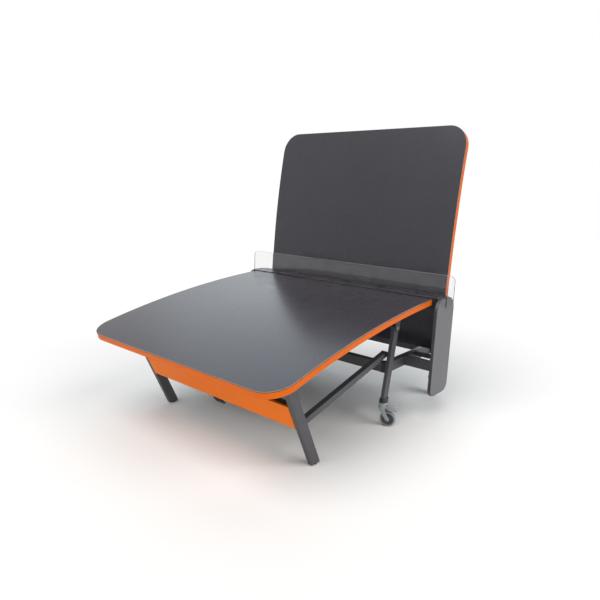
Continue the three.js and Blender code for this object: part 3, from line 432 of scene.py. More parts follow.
def prism(outline, low, high, rounding=1.0, axes=(1, 2, 0), finish=0, face=None):
    """An outline carried along the last of axes from low to high. Round each end edge, at angle t, the ring
    is drawn in by r (1 - sin t) and stands r (1 - cos t) from the end. face is the ends' own finish."""
    outline = counter_clockwise(np.asarray(outline, float))
    inset = rounding * (1 - np.sin(EDGE))
    level = rounding * (1 - np.cos(EDGE))
    rings = [(i, low + h) for i, h in zip(inset, level)]
    rings += [(i, high - h) for i, h in zip(inset[::-1], level[::-1])]
    grid = np.zeros((len(rings), len(outline), 3))
    for row, (draw, height) in enumerate(rings):
        ring = drawn_in(outline, draw)
        grid[row, :, axes[0]] = ring[:, 0]
        grid[row, :, axes[1]] = ring[:, 1]
        grid[row, :, axes[2]] = height
    end = finish if face is None else face
    return skin(grid, finish, ends=(end, end))


def lathe(profile, centre, along="z", facets=40, finish=0, closed=False):
    """A profile of (radius, height) turned round an axis through centre: at angle t a point is radius cos t
    and radius sin t from the axis. A closed profile makes a ring; an open one is capped at both ends."""
    profile = np.asarray(profile, float)
    angle = np.linspace(0, 2 * math.pi, facets, endpoint=False)
    a = profile[:, :1] * np.cos(angle)
    b = profile[:, :1] * np.sin(angle)
    h = np.repeat(profile[:, 1:], facets, 1)
    if along == "z":
        grid = np.stack([centre[0] + a, centre[1] + b, centre[2] + h], -1)
    else:
        grid = np.stack([centre[0] + h, centre[1] + a, centre[2] + b], -1)
    if closed:
        return skin(grid, finish, loop=True)
    bands = np.broadcast_to(np.asarray(finish), (len(profile) - 1,))
    return skin(grid, bands, ends=(int(bands[0]), int(bands[-1])))


def bolt_head(centre, face, out, radius=HEAD_RADIUS, finish=0):
    """A hexagon head with a rounded rim on a washer, standing out of a face at x = face towards out."""
    rim = circle(centre, radius + WASHER_RIM, 28)
    washer = prism(rim, *sorted([face, face + out * WASHER_HEIGHT]), 0.4, finish=finish)
    levels = sorted([face + out * (WASHER_HEIGHT - 0.2), face + out * HEAD_HEIGHT])
    return [washer, prism(circle(centre, radius - 0.6, 6), *levels, 0.7, finish=finish)]


def weld_bead(at, low, high, radius=BEAD_RADIUS, steps=8):
    """A bead laid round a rectangle in the plane x = at, from corner low to corner high: at each point a
    circle of angles t stands radius cos t out from the rectangle's middle and radius sin t along x, and the
    radius is rippled by a sine of the point's number."""
    (y0, z0), (y1, z1) = low, high
    path = np.array([(at, y0, z0), (at, y1, z0), (at, y1, z1), (at, y0, z1)], float)
    share = np.linspace(0, 1, BEAD_POINTS, endpoint=False)[:, None, None]
    after = np.roll(path, -1, 0)
    line = (path[None] * (1 - share) + after[None] * share).transpose(1, 0, 2).reshape(-1, 3)
    middle = line.mean(0)
    normal = np.cross(path[1] - path[0], path[2] - path[1])
    normal = normal / np.linalg.norm(normal)
    out = line - middle
    out = out / np.linalg.norm(out, axis=1)[:, None]
    angle = np.linspace(0, 2 * math.pi, steps, endpoint=False)
    size = radius * (1 + BEAD_RIPPLE * np.sin(np.arange(len(line)) * BEAD_WAVE))
    grid = line[:, None] + size[:, None, None] * (
        out[:, None] * np.cos(angle)[None, :, None] + normal * np.sin(angle)[None, :, None]
    )
    return skin(grid, loop=True)


# ------------------------------------------------------------ materials

# The Mix node's colour sockets share their names with its number sockets, so they go by their places.
COLOUR_A, COLOUR_B, COLOUR_OUT = 6, 7, 2
# The range that two noises, multiplied, seldom leave.
NOISE_RANGE = {"From Min": 0.12, "From Max": 0.40}


def linear(code):
    """A colour written as sRGB hex, as linear values: the lower part of the curve is v / 12.92, the rest is
    ((v + 0.055) / 1.055) to the power 2.4."""
    value = np.array([int(code[i : i + 2], 16) for i in (1, 3, 5)]) / 255
    low = value / 12.92
    high = ((value + 0.055) / 1.055) ** 2.4
    return (*np.where(value <= 0.04045, low, high).tolist(), 1.0)


def add(tree, kind, inputs=None, **settings):
    """Adds a node with its settings; each input takes a value or another node's output."""
    made = tree.nodes.new("ShaderNode" + kind)
    for name, value in settings.items():
        setattr(made, name, value)
    for name, value in (inputs or {}).items():
        if isinstance(value, bpy.types.NodeSocket):
            tree.links.new(value, made.inputs[name])
        else:
            made.inputs[name].default_value = value
    return made


def blank(name):
    """A material with no nodes yet, and its node tree."""
    material = bpy.data.materials.new(name)
    material.use_nodes = True
    material.node_tree.nodes.clear()
    return material, material.node_tree


def finish_of(name, dark, pale, grain, speck, roughness, relief, **shader):
    """A surface whose colour wanders between two near shades over grain millimetres, with a fine texture of
    speck millimetres that also varies the roughness and stands relief millimetres proud."""
    material, tree = blank(name)
    place = add(tree, "TexCoord").outputs["Object"]
    broad = add(tree, "TexNoise", {"Vector": place, "Scale": 1 / (grain * MM), "Detail": 3.0})
    fine = add(tree, "TexNoise", {"Vector": place, "Scale": 1 / (speck * MM), "Detail": 2.0})
    mixed = add(tree, "Math", {0: broad.outputs["Fac"], 1: fine.outputs["Fac"]}, operation="MULTIPLY")
    spread = add(tree, "MapRange", {"Value": mixed.outputs["Value"], **NOISE_RANGE})
    shade = add(tree, "Mix", {
        "Factor": spread.outputs["Result"], COLOUR_A: linear(dark), COLOUR_B: linear(pale),
    }, data_type="RGBA")
    rough = add(tree, "MapRange", {
        "Value": mixed.outputs["Value"], **NOISE_RANGE, "To Min": roughness[0], "To Max": roughness[1],
    })
    bump = add(tree, "Bump", {"Height": fine.outputs["Fac"], "Strength": 0.6, "Distance": relief * MM})
    glossy = {key.replace("_", " "): value for key, value in shader.items()}
    surface = add(tree, "BsdfPrincipled", {
        "Base Color": shade.outputs[COLOUR_OUT],
        "Roughness": rough.outputs["Result"],
        "Normal": bump.outputs["Normal"],
        **glossy,
    })
    add(tree, "OutputMaterial", {"Surface": surface.outputs["BSDF"]})
    return material


# High-pressure laminate, pressed on a fine matt plate: a dark, even face with a soft cool sheen.
PLAY_LAMINATE = finish_of(
    "high_pressure_laminate_anthracite_matt", "#343137", "#37343a", 160, 2.4, (0.265, 0.295), 0.004,
    IOR=1.5, Specular_Tint=linear("#e2ebf3"),
)
# The same sheet's cut edge: resin-soaked paper, sawn and waxed, with a faint shine. Its brown is painted
# paler than the edge's own dark colour, a painted highlight along the edge.
LAMINATE_EDGE_PAINTED_HIGHLIGHT = finish_of(
    "high_pressure_laminate_cut_edge_painted_highlight", "#86756a", "#968478", 30, 1.5, (0.25, 0.35), 0.02, IOR=1.5,
    Coat_Weight=0.7, Coat_Roughness=0.15,
)
# Backing laminate under the board: black, matt, with little gloss. The same black lines the groove of its
# band as painted shade.
BACKING_AND_PAINTED_GROOVE_SHADE = finish_of(
    "backing_laminate_black_and_painted_groove_shade", "#262627", "#2f2f30", 120, 2.5, (0.5, 0.6), 0.03, IOR=1.48,
)
# ABS edge band, extruded and hot-glued: even orange with a faint satin skin.
EDGE_BAND = finish_of(
    "abs_edge_band_orange", "#da650c", "#e0690e", 90, 3.0, (0.38, 0.48), 0.03, IOR=1.53,
    Specular_IOR_Level=0.12,
)
# Powder coat on folded steel: orange with a fine orange-peel skin. Its orange is painted brighter than the
# band's, as painted light for the panel, which faces down and outwards and catches little light.
ORANGE_COAT_PAINTED_BRIGHTER = finish_of(
    "powder_coat_orange_painted_brighter", "#fc7c12", "#ff7f14", 140, 2.6, (0.38, 0.48), 0.05, IOR=1.5,
    Specular_IOR_Level=0.12,
)
# Textured powder coat on steel tube: a fine dark sand that scatters the light.
GREY_COAT = finish_of(
    "powder_coat_graphite_fine_texture", "#434347", "#4d4d51", 60, 1.8, (0.42, 0.56), 0.09, IOR=1.5,
)
# Laminate faces of the side plates: a lighter matt grey.
PLATE_LAMINATE = finish_of(
    "high_pressure_laminate_grey_matt", "#5a5b5f", "#626367", 150, 2.2, (0.42, 0.5), 0.03, IOR=1.5,
)
# Their edge band: ABS, near black.
PLATE_BAND = finish_of(
    "abs_edge_band_black", "#343337", "#3c3b40", 60, 2.4, (0.38, 0.46), 0.03, IOR=1.53,
)
# Moulded polypropylene of collars, glides, plugs and handles: black with a spark-eroded grain.
BLACK_PLASTIC = finish_of(
    "polypropylene_black_moulded", "#1b1b1d", "#232325", 25, 1.2, (0.4, 0.52), 0.05, IOR=1.49,
)
# Glass-filled nylon of the caster forks and pedals: cool light grey, satin.
CASTER_NYLON = finish_of(
    "nylon_glass_filled_light_grey", "#949ca1", "#9ea6ab", 18, 1.0, (0.34, 0.44), 0.04, IOR=1.53,
)
# Tyres of grey thermoplastic rubber: dull, with a slight skin.
TYRE = finish_of(
    "thermoplastic_rubber_grey", "#868a8d", "#909497", 20, 1.0, (0.55, 0.68), 0.06, IOR=1.5,
)
# Hub discs of dark moulded polypropylene.
HUB = finish_of(
    "polypropylene_dark_grey_moulded", "#3d3c41", "#46454a", 20, 1.0, (0.42, 0.52), 0.04, IOR=1.49,
)
# Zinc-plated steel bolts, pins and axles: pale grey metal with a slightly uneven plating.
ZINC = finish_of(
    "steel_zinc_plated", "#a9acaf", "#bcbfc2", 6, 0.8, (0.26, 0.4), 0.02, Metallic=1.0,
)


def clear_sheet():
    """Cast acrylic with an anti-glare coat: clear, with a weakened mirror on its face and a hair of haze."""
    material, tree = blank("cast_acrylic_clear_coated")
    place = add(tree, "TexCoord").outputs["Object"]
    haze = add(tree, "TexNoise", {"Vector": place, "Scale": 9.0, "Detail": 2.0})
    rough = add(tree, "MapRange", {"Value": haze.outputs["Fac"], "To Min": 0.004, "To Max": 0.016})
    surface = add(tree, "BsdfPrincipled", {
        "Base Color": linear("#f1f0f1"),
        "Roughness": rough.outputs["Result"],
        "IOR": 1.4,
        "Transmission Weight": 1.0,
    })
    add(tree, "OutputMaterial", {"Surface": surface.outputs["BSDF"]})
    return material


ACRYLIC = clear_sheet()
# Its sawn and scraped edge: frosted, so that it glows as a pale line on dark and a grey one on white.
ACRYLIC_EDGE = finish_of(
    "cast_acrylic_scraped_edge", "#88898b", "#98999b", 60, 1.2, (0.35, 0.5), 0.03, IOR=1.4,
    Transmission_Weight=0.3,
)

# ------------------------------------------------------------ boards

HALF_LENGTH = TABLE_LENGTH / 2
BOW = END_DROP - TIP_DROP - INNER_SLOPE * HALF_LENGTH


def surface_height(u):
    """Height of the playing surface in play: the peak less a slope, a square and a fourth power of u."""
    share = u / HALF_LENGTH
    return PEAK_HEIGHT - INNER_SLOPE * u - BOW * share**2 - TIP_DROP * share**4


def under_surface(u, depth):
    """A point depth under the surface at u, measured along its normal, which is (-slope, 1) made unit."""
    share = u / HALF_LENGTH
    slope = -INNER_SLOPE - (2 * BOW * share + 4 * TIP_DROP * share**3) / HALF_LENGTH
    length = np.sqrt(1 + slope**2)
    return u + slope / length * depth, surface_height(u) - depth / length


def board_sheet(inset, depth, columns=9):
    """A grid over a half's plan, drawn in by inset and lying depth under the surface. Rows run from the net
    to the end; round a corner at angle t, u is the far line less r (1 - sin t) and the half width is the
    side less r (1 - cos t)."""
    side = TABLE_WIDTH / 2 - inset
    near = INNER_EDGE + inset
    far = HALF_LENGTH - inset
    big = CORNER_RADIUS - inset
    small = max(INNER_CORNER_RADIUS - inset, 1)
    inner = np.linspace(0, math.pi / 2, 5)
    outer = np.linspace(0, math.pi / 2, 15)
    straight = np.linspace(near + small, far - big, 42)[1:-1]
    u = np.concatenate([near + small * (1 - np.cos(inner)), straight, far - big * (1 - np.sin(outer))])
    half = np.concatenate([
        side - small * (1 - np.sin(inner)),
        np.full(len(straight), side),
        side - big * (1 - np.cos(outer)),
    ])
    place_u, place_z = under_surface(u, depth)
    x = half[:, None] * np.linspace(-1, 1, columns)
    return np.stack(np.broadcast_arrays(x, place_u[:, None], place_z[:, None]), -1)


def rim(grid):
    """The grid's outer line, once round."""
    return np.vstack([grid[0, :-1], grid[:-1, -1], grid[-1, :0:-1], grid[:0:-1, 0]])


def slab(profile, top, side, bottom):
    """A layer of the board: a sheet for its top, one for its bottom, and the rims of profile between."""
    sheets = [board_sheet(inset, depth) for inset, depth in profile]
    wall = skin(np.stack([rim(sheet) for sheet in sheets]), side)
    first = skin(sheets[0], top, ring=False)
    last = skin(sheets[-1], bottom, ring=False)
    count = len(wall["points"])
    size = len(first["points"])
    return {
        "points": np.vstack([wall["points"], first["points"], last["points"]]),
        "quads": np.vstack([
            wall["quads"],
            first["quads"][:, ::-1] + count,
            last["quads"] + count + size,
        ]),
        "finish": np.concatenate([wall["finish"], first["finish"], last["finish"]]),
        "caps": [],
    }


def rounded_edge(inset, depth_a, depth_b, radius, steps=3):
    """Pairs (inset, depth) down a wall at inset, with a quarter circle at its upper and lower corner."""
    t = np.linspace(0, math.pi / 2, steps + 1)
    upper = np.stack([inset + radius * (1 - np.sin(t)), depth_a + radius * (1 - np.cos(t))], -1)
    lower = np.stack([inset + radius * (1 - np.cos(t)), depth_b - radius * (1 - np.sin(t))], -1)
    return np.vstack([upper, lower])


for end in ENDS:
    place = standing(end, "half")
    # The top layer's walls take the cut edge's colour, painted paler than the edge itself as a highlight.
    top_layer = slab(rounded_edge(0, 0, LAMINATE, 0.6), 0, 1, 1)
    core = slab(rounded_edge(BAND_THICKNESS + FIT, LAMINATE - CORE_OVERLAP, BOARD_THICKNESS, 1.0), 2, 2, 2)
    build(
        f"{end}_curved_board", f"{end}_half", place, [top_layer, core],
        [PLAY_LAMINATE, LAMINATE_EDGE_PAINTED_HIGHLIGHT, BACKING_AND_PAINTED_GROOVE_SHADE], f"{end}_board", 40, welded=True,
    )
    # The band: a groove under the laminate with its floor black as painted shade, the orange face below it,
    # and the inner face back up.
    groove_top = LAMINATE + FIT
    groove_bottom = groove_top + GROOVE_HEIGHT
    profile = np.vstack([
        [(BAND_GROOVE, groove_top), (BAND_GROOVE, groove_bottom)],
        rounded_edge(0, groove_bottom, BOARD_THICKNESS, 1.2),
        [(BAND_THICKNESS, BOARD_THICKNESS), (BAND_THICKNESS, groove_top)],
    ])
    strip = np.stack([rim(board_sheet(inset, depth)) for inset, depth in profile])
    bands = np.zeros(len(profile), int)
    bands[0] = 1  # the groove's floor, black as painted shade
    build(
        f"{end}_orange_band", f"{end}_half", place, [skin(strip, bands, loop=True)],
        [EDGE_BAND, BACKING_AND_PAINTED_GROOVE_SHADE], f"{end}_edge_band", 40,
    )

# ------------------------------------------------------------ hinge brackets


def bracket(about, leg_x, leg_width, side):
    """A folded channel under the board: two cheeks with round ends below the pivot, a web between them on
    the board's underside, and a bolt through the cheeks with a head and washer at each end."""
    seat_u, seat_z = under_surface(about[0], BOARD_THICKNESS + FIT)
    ahead = under_surface(about[0] + 1, BOARD_THICKNESS + FIT)
    along = np.array([ahead[0] - seat_u, ahead[1] - seat_z])
    along = along / np.linalg.norm(along)
    down = np.array([along[1], -along[0]])
    seat = np.array([seat_u, seat_z])
    start, stop = seat - along * BRACKET_HALF, seat + along * BRACKET_HALF
    lean = math.degrees(math.atan2(along[1], along[0]))
    cheek = np.vstack([arc(about, BRACKET_HALF, 180 + lean, 360 + lean, 14), stop, start])
    web = [start, start + down * BRACKET_PLATE, stop + down * BRACKET_PLATE, stop]
    inner, outer = leg_x - leg_width / 2 - FIT, leg_x + leg_width / 2 + FIT
    inner_face, outer_face = inner - BRACKET_PLATE, outer + BRACKET_PLATE
    return [
        prism(cheek, *span(side, inner_face, inner), 0.8),
        prism(cheek, *span(side, outer, outer_face), 0.8),
        prism(web, *span(side, inner_face, outer_face), 0.6),
        *bolt_head(about, side * outer_face, side, finish=1),
        *bolt_head(about, side * inner_face, -side, finish=1),
        prism(circle(about, BRACKET_BOLT, 24), *span(side, inner, outer), 0.2, finish=1),
    ]


for end, side, tag in CORNERS:
    place = standing(end, "half")
    build(
        f"{tag}_fold_hinge", f"{end}_half", place, bracket(FOLD_PIVOT, CASTER_LEG_X, CASTER_LEG_WIDTH, side),
        [GREY_COAT, ZINC], f"{tag}_fold_bracket",
    )
    build(
        f"{tag}_leg_hinge", f"{end}_half", place, bracket(LEG_PIVOT, LEG_X, LEG_WIDTH, side),
        [GREY_COAT, ZINC], f"{tag}_leg_bracket",
    )

# ------------------------------------------------------------ caster legs and collars

LEAN = (FOLD_PIVOT[0] - CASTER_FOOT[0]) / (FOLD_PIVOT[1] - CASTER_FOOT[1])


def caster_leg(side):
    """A flat tube, round at the top and let into the collar below, with the strut's pin inside."""
    foot = (CASTER_FOOT[0] - CASTER_LEG_LIFT * LEAN, CASTER_FOOT[1] + CASTER_LEG_LIFT)
    outline = long_box(FOLD_PIVOT, foot, CASTER_LEG_DEPTH, True, False)
    inner, outer = CASTER_LEG_X - CASTER_LEG_WIDTH / 2, CASTER_LEG_X + CASTER_LEG_WIDTH / 2
    boss = STRUT_X + STRUT_SIZE / 2 + FIT
    pin = STRUT_X - STRUT_SIZE / 2 - FIT
    return [
        prism(outline, *span(side, inner, outer), CASTER_LEG_ROUNDING),
        prism(circle(STRUT_PIVOT, STRUT_BOSS), *span(side, boss, inner + 1), 1),
        prism(circle(STRUT_PIVOT, STRUT_PIN), *span(side, pin - 2, inner + 1), 0.5, finish=1),
        *bolt_head(STRUT_PIVOT, side * pin, -side, finish=1),
    ]


def collar(u):
    """A moulded cap at u, round below and turned in over a shoulder to the tube's rounded rectangle. Each
    row mixes the circle and the rectangle: the rectangle's part is 1 - sqrt(1 - b squared), where b goes
    from 0 to 1 up the shoulder. The rows lean with the tube, and the lowest are drawn in by up to a
    twentieth."""
    corners = rounded_box(-COLLAR_MOUTH, COLLAR_MOUTH, COLLAR_MOUTH_RADIUS, 8)
    angle = np.arctan2(corners[:, 1], corners[:, 0])
    circle_line = COLLAR_RADIUS * np.stack([np.cos(angle), np.sin(angle)], -1)
    share = np.concatenate([
        [0.0, 0.04, 0.1], np.linspace(0.25, COLLAR_SHOULDER, 4), np.linspace(COLLAR_SHOULDER + 0.06, 1, 7),
    ])
    shoulder = np.clip((share - COLLAR_SHOULDER) / (1 - COLLAR_SHOULDER), 0, 1)
    blend = (1 - np.sqrt(1 - shoulder**2))[:, None, None]
    draw = 1 - 0.05 * np.clip(1 - share / 0.1, 0, 1) ** 2
    height = COLLAR_BOTTOM + share * (COLLAR_TOP - COLLAR_BOTTOM)
    middle = u + np.clip(height - CASTER_FOOT[1], 0, None) * LEAN
    outline = (circle_line * (1 - blend) + corners * blend) * draw[:, None, None]
    # the brim is drawn in at the top, and the mouth lies below it
    brim = outline[-1:] * COLLAR_BRIM
    outline = np.concatenate([outline, brim, brim])
    middle = np.append(middle, [middle[-1], middle[-1]])
    height = np.append(height, [COLLAR_TOP, COLLAR_TOP - COLLAR_WELL])
    rows = [outline[..., 0], outline[..., 1] + middle[:, None], height[:, None]]
    return [skin(np.stack(np.broadcast_arrays(*rows), -1), ends=(0, 0))]


for end, side, tag in CORNERS:
    build(
        f"{tag}_caster_leg_tube", "base", standing(end), caster_leg(side), [GREY_COAT, ZINC],
        f"{tag}_caster_leg",
    )
    place = standing(end, across=side * CASTER_LEG_X)
    build(
        f"{tag}_leg_collar", "base", place, collar(CASTER_FOOT[0]), [BLACK_PLASTIC],
        f"{tag}_collar", 45,
    )

# ------------------------------------------------------------ casters
# Drawn round the swivel axis at x = 0, u = 0, with the wheel trailing towards +u.

AXLE = np.array([CASTER_TRAIL, WHEEL_RADIUS])


def fork_arm(side):
    """One arm of the fork. Its middle line runs from under the cap to the axle as a curve of the second
    degree: (1 - s) squared top + 2 s (1 - s) elbow + s squared axle. Its half width goes from its top's to
    its end's as (1 - s) to the power 1.6, and it ends in a half circle. Its outer face follows the cap's
    circle above and flattens to the arm's own plane below, with its edges eased by a sixth power."""
    share = np.linspace(0, 1, 22)
    s = share[:, None]
    path = (1 - s) ** 2 * ARM_TOP + 2 * s * (1 - s) * ARM_ELBOW + s**2 * AXLE
    step = np.gradient(path, axis=0)
    step = step / np.linalg.norm(step, axis=1)[:, None]
    normal = np.stack([-step[:, 1], step[:, 0]], -1)
    half = ARM_HALF * (1 - s) ** 1.6 + ARM_END_RADIUS * (1 - (1 - s) ** 1.6)
    across = np.linspace(-1, 1, 9)
    middle = path[:, None] + normal[:, None] * half[..., None] * across[None, :, None]
    t = np.linspace(0, math.pi / 2, 6)[1:-1, None, None]
    end = AXLE + ARM_END_RADIUS * (step[-1] * np.sin(t) + normal[-1] * np.cos(t) * across[:, None])
    middle = np.concatenate([middle, end])
    share = np.concatenate([share, np.ones(len(end))])[:, None]
    u = middle[..., 0]
    on_cap = np.sqrt(np.clip(FORK_CAP_RADIUS**2 - u**2, 0, None))
    keep = np.clip(1 - share * 2.2, 0, 1)
    outer = np.maximum(on_cap * keep + FORK_OUTER * (1 - keep), FORK_INNER + ARM_LEAST)
    outer = outer - ARM_EASE * np.abs(across) ** 6
    front = np.stack([side * outer, u, middle[..., 1]], -1)
    back = np.stack([np.full_like(u, side * FORK_INNER), u, middle[..., 1]], -1)[:, ::-1]
    return skin(np.concatenate([front, back], 1), ends=(0, 0))


def cap_wall():
    """The curved wall under the cap: two parts of rings, one inside the other, at radius cos t and radius
    sin t, whose lower edge rises by the square of the distance from their middle."""
    angle = np.radians(np.linspace(*WALL_ARC, 20))
    low = WALL_LOW + WALL_RISE * np.linspace(-1, 1, 20) ** 2
    height = low + (FORK_TOP - 10 - low) * np.linspace(0, 1, 7)[:, None]
    outer, inner = [
        np.stack(np.broadcast_arrays(radius * np.cos(angle), radius * np.sin(angle), height), -1)
        for radius in FORK_WALL
    ]
    return skin(np.concatenate([outer, inner[:, ::-1]], 1), ends=(0, 0))


def fork():
    """A round cap with its stem, a curved wall behind the wheel, two arms, and the axle with its caps."""
    edge = FORK_CAP_RADIUS
    cap = lathe([
        (25.5, FORK_TOP), (27.6, FORK_TOP - 0.7), (edge - 0.3, FORK_TOP - 2.2), (edge, FORK_TOP - 4.5),
        (edge, FORK_TOP - 10), (edge - 0.4, FORK_TOP - 11.5), (edge - 2, FORK_TOP - 12),
    ], (0, 0, 0))
    stem = lathe([(STEM_RADIUS, STEM_TOP), (STEM_RADIUS, FORK_TOP - 1)], (0, 0, 0), facets=20, finish=1)
    nuts = [
        lathe([
            (AXLE_CAP_RADIUS, side * (FORK_OUTER - 1)), (AXLE_CAP_RADIUS, side * (FORK_OUTER + 0.6)),
            (6.6, side * (FORK_OUTER + 1.5)), (4.5, side * (FORK_OUTER + 1.9)),
        ], (0, *AXLE), "x", 24)
        for side in (-1, 1)
    ]
    axle = lathe([(AXLE_RADIUS, -FORK_OUTER), (AXLE_RADIUS, FORK_OUTER)], (0, *AXLE), "x", 24, finish=1)
    return [cap, stem, cap_wall(), fork_arm(-1), fork_arm(1), *nuts, axle]


def wheel():
    """A tyre with a step beside its tread, and a dished hub with a boss on the axle. Round the tread, at
    angle t, the radius is the wheel's less r (1 - cos t), and the place across is half the width times
    sin t."""
    half = WHEEL_WIDTH / 2
    t = np.linspace(-math.pi / 2, math.pi / 2, 11)
    tread = [WHEEL_RADIUS - TREAD_ROUNDING + TREAD_ROUNDING * np.cos(t), (half - 0.6) * np.sin(t)]
    flank = np.array([(TYRE_BORE, half - 2.4), (TYRE_BORE + 1, half - 1.2), (40, half - 0.8)])
    mirror = np.array([1, -1])
    tyre = np.vstack([flank[0], flank * mirror, np.stack(tread, -1), flank[:0:-1]])
    dish = np.array([
        (6.4, -17), (13, -17), (14, -16), (16, -10.6), (30, -10.2), (33.4, -11.4), (34.6, -13.2),
        (TYRE_BORE, -13.4),
    ])
    return [
        lathe(tyre, (0, *AXLE), "x", 64, 0, closed=True),
        lathe(np.vstack([dish, dish[::-1] * mirror]), (0, *AXLE), "x", 64, 1, closed=True),
    ]


def pedal():
    """A fender over the wheel: a side outline with a bowed top, a toe, and an underside that follows the
    tyre, carried across the caster, with a tongue into the fork round its pin."""
    top = [(30.2, 136.6), (42, 136.2), (54, 133.8), (66, 129.4), (77, 123.4), (86, 116.8), (91.6, 111.4)]
    toe = arc((90, 109), 2.8, 40, -80, 5)
    under = [(82, 103.6), (73, 102.2)]
    outline = np.vstack([top, toe, under, arc((56, 160), 57.4, -78, -107, 6), [(30.2, 106)]])
    tongue = rounded_box((-6.5, 112), (34, 134), (6, 2, 2, 6))
    return [
        prism(outline, -PEDAL_HALF, PEDAL_HALF, 2.4),
        prism(tongue, -FORK_INNER + 1, FORK_INNER - 1, 1),
    ]


for end, side, tag in CORNERS:
    place = on_caster(end, side)
    build(
        f"{tag}_fork_moulding", f"{tag}_caster", place, fork(), [CASTER_NYLON, ZINC],
        f"{tag}_caster_fork", 40,
    )
    build(
        f"{tag}_tyre_and_hub", f"{tag}_wheel", place, wheel(), [TYRE, HUB],
        f"{tag}_caster_wheel", 40,
    )
    build(
        f"{tag}_brake_shoe", f"{tag}_pedal", place, pedal(), [CASTER_NYLON],
        f"{tag}_caster_pedal", 40,
    )

# ------------------------------------------------------------ base frame


def rail(low, high, along, radius=4, plugs=True):
    """A rectangular tube along one axis: a rounded section carried along it, with a plug in each end."""
    axes = {"x": (1, 2, 0), "u": (0, 2, 1)}[along]
    across = list(axes[:2])
    low, high = np.array(low, float), np.array(high, float)
    start, stop = low[axes[2]], high[axes[2]]
    skins = [prism(rounded_box(low[across], high[across], radius, 5), start, stop, 0.4, axes)]
    if plugs:
        inner = rounded_box(low[across] + TUBE_WALL, high[across] - TUBE_WALL, 2, 4)
        skins.append(prism(inner, start - PLUG_PROUD, start + PLUG_DEPTH, 0.8, axes, finish=1))
        skins.append(prism(inner, stop - PLUG_DEPTH, stop + PLUG_PROUD, 0.8, axes, finish=1))
    return skins


def base_frame():
    """Two length rails, two cross rails between them, four outriggers, and a bead of weld at each joint."""
    floor, top = RAIL_TOP - RAIL_HEIGHT, RAIL_TOP
    inner = RAIL_OUTER - RAIL_WIDTH
    length = CROSS_RAIL_OUTER - PLUG_PROUD
    outriggers = [
        (-OUTRIGGER_OUTER, floor),
        (OUTRIGGER_OUTER - OUTRIGGER_WIDTH, top - REAR_OUTRIGGER_HEIGHT),
    ]
    skins = []
    for side in SIDES.values():
        x0, x1 = span(side, inner, RAIL_OUTER)
        skins += rail((x0, -length, floor), (x1, length, top), "u")
        x0, x1 = span(side, RAIL_OUTER - 1, SIDE_PLATE_X - FIT)
        for near, under in outriggers:
            far = near + OUTRIGGER_WIDTH
            skins += rail((x0, near, under), (x1, far, top), "x", OUTRIGGER_ROUNDING, plugs=False)
            skins.append(weld_bead(side * (RAIL_OUTER + BEAD_OFF), (near, under), (far, top)))
    for near in (-CROSS_RAIL_OUTER, CROSS_RAIL_OUTER - RAIL_WIDTH):
        far = near + RAIL_WIDTH
        skins += rail((-inner - 1, near, floor), (inner + 1, far, top), "x", plugs=False)
        for side in SIDES.values():
            skins.append(weld_bead(side * (inner - BEAD_OFF), (near, floor), (far, top)))
    return skins


build(
    "base_frame_tubes", "base", standing("rear"), base_frame(), [GREY_COAT, BLACK_PLASTIC],
    "base_frame",
)

# ------------------------------------------------------------ centre beam, side plates and net

EDGE_SWEEP = math.hypot(INNER_EDGE - FOLD_PIVOT[0], surface_height(INNER_EDGE) - FOLD_PIVOT[1])
BEAM_SWEEP = EDGE_SWEEP + BEAM_CLEARANCE
SLOT = NET_THICKNESS / 2 + FIT
SLOT_FLOOR = NET_BOTTOM - FIT
SLOT_MOUTH = NET_THICKNESS / 2 + MOUTH_GAP

# The beam's flanks are hollowed by the circle that the boards' inner edges sweep as they fold.
levels = np.linspace(BEAM_BOTTOM, PEAK_HEIGHT, 15)
flank = FOLD_PIVOT[0] - np.sqrt(BEAM_SWEEP**2 - (levels - FOLD_PIVOT[1]) ** 2)
beam_outline = np.vstack([
    np.stack([flank, levels], -1),
    [(SLOT, PEAK_HEIGHT), (SLOT, SLOT_FLOOR), (-SLOT, SLOT_FLOOR), (-SLOT, PEAK_HEIGHT)],
    np.stack([-flank, levels], -1)[::-1],
])
build(
    "centre_beam_laminated", "base", standing("rear"),
    [prism(beam_outline, -SIDE_PLATE_X + FIT, SIDE_PLATE_X - FIT, 0.6)],
    [PLAY_LAMINATE], "centre_beam", 28,
)


def plate_outline():
    """A tall board with round corners and the net's slot in the middle of its top, counter-clockwise."""
    half, low, high = SIDE_PLATE_HALF, SIDE_PLATE_BOTTOM, PEAK_HEIGHT
    small, big = SIDE_PLATE_BOTTOM_RADIUS, SIDE_PLATE_TOP_RADIUS
    return np.vstack([
        arc((-half + small, low + small), small, 180, 270, 14),
        arc((half - small, low + small), small, 270, 360, 14),
        arc((half - big, high - big), big, 0, 90, 18),
        [(SLOT, high), (SLOT, SLOT_FLOOR), (-SLOT_MOUTH, NET_BOTTOM + MOUTH_LEDGE), (-SLOT_MOUTH, high)],
        arc((-half + big, high - big), big, 90, 180, 18),
    ])


for name, side in SIDES.items():
    limits = span(side, SIDE_PLATE_X, SIDE_PLATE_X + SIDE_PLATE_THICKNESS)
    build(
        f"side_board_{name}", "base", standing("rear"),
        [prism(plate_outline(), *limits, SIDE_PLATE_ROUNDING, finish=1, face=0)],
        [PLATE_LAMINATE, PLATE_BAND],
        f"side_plate_{name}",
    )

net_outline = rounded_box((-NET_HALF_LENGTH, NET_BOTTOM), (NET_HALF_LENGTH, NET_TOP), NET_CORNER, 14)
build(
    "net_clear_sheet", "net", standing("rear"),
    [prism(net_outline, -NET_THICKNESS / 2, NET_THICKNESS / 2, 0.8, (0, 2, 1), finish=1, face=0)],
    [ACRYLIC, ACRYLIC_EDGE], "net",
)

# ------------------------------------------------------------ outer legs, crossbar, panel and handle

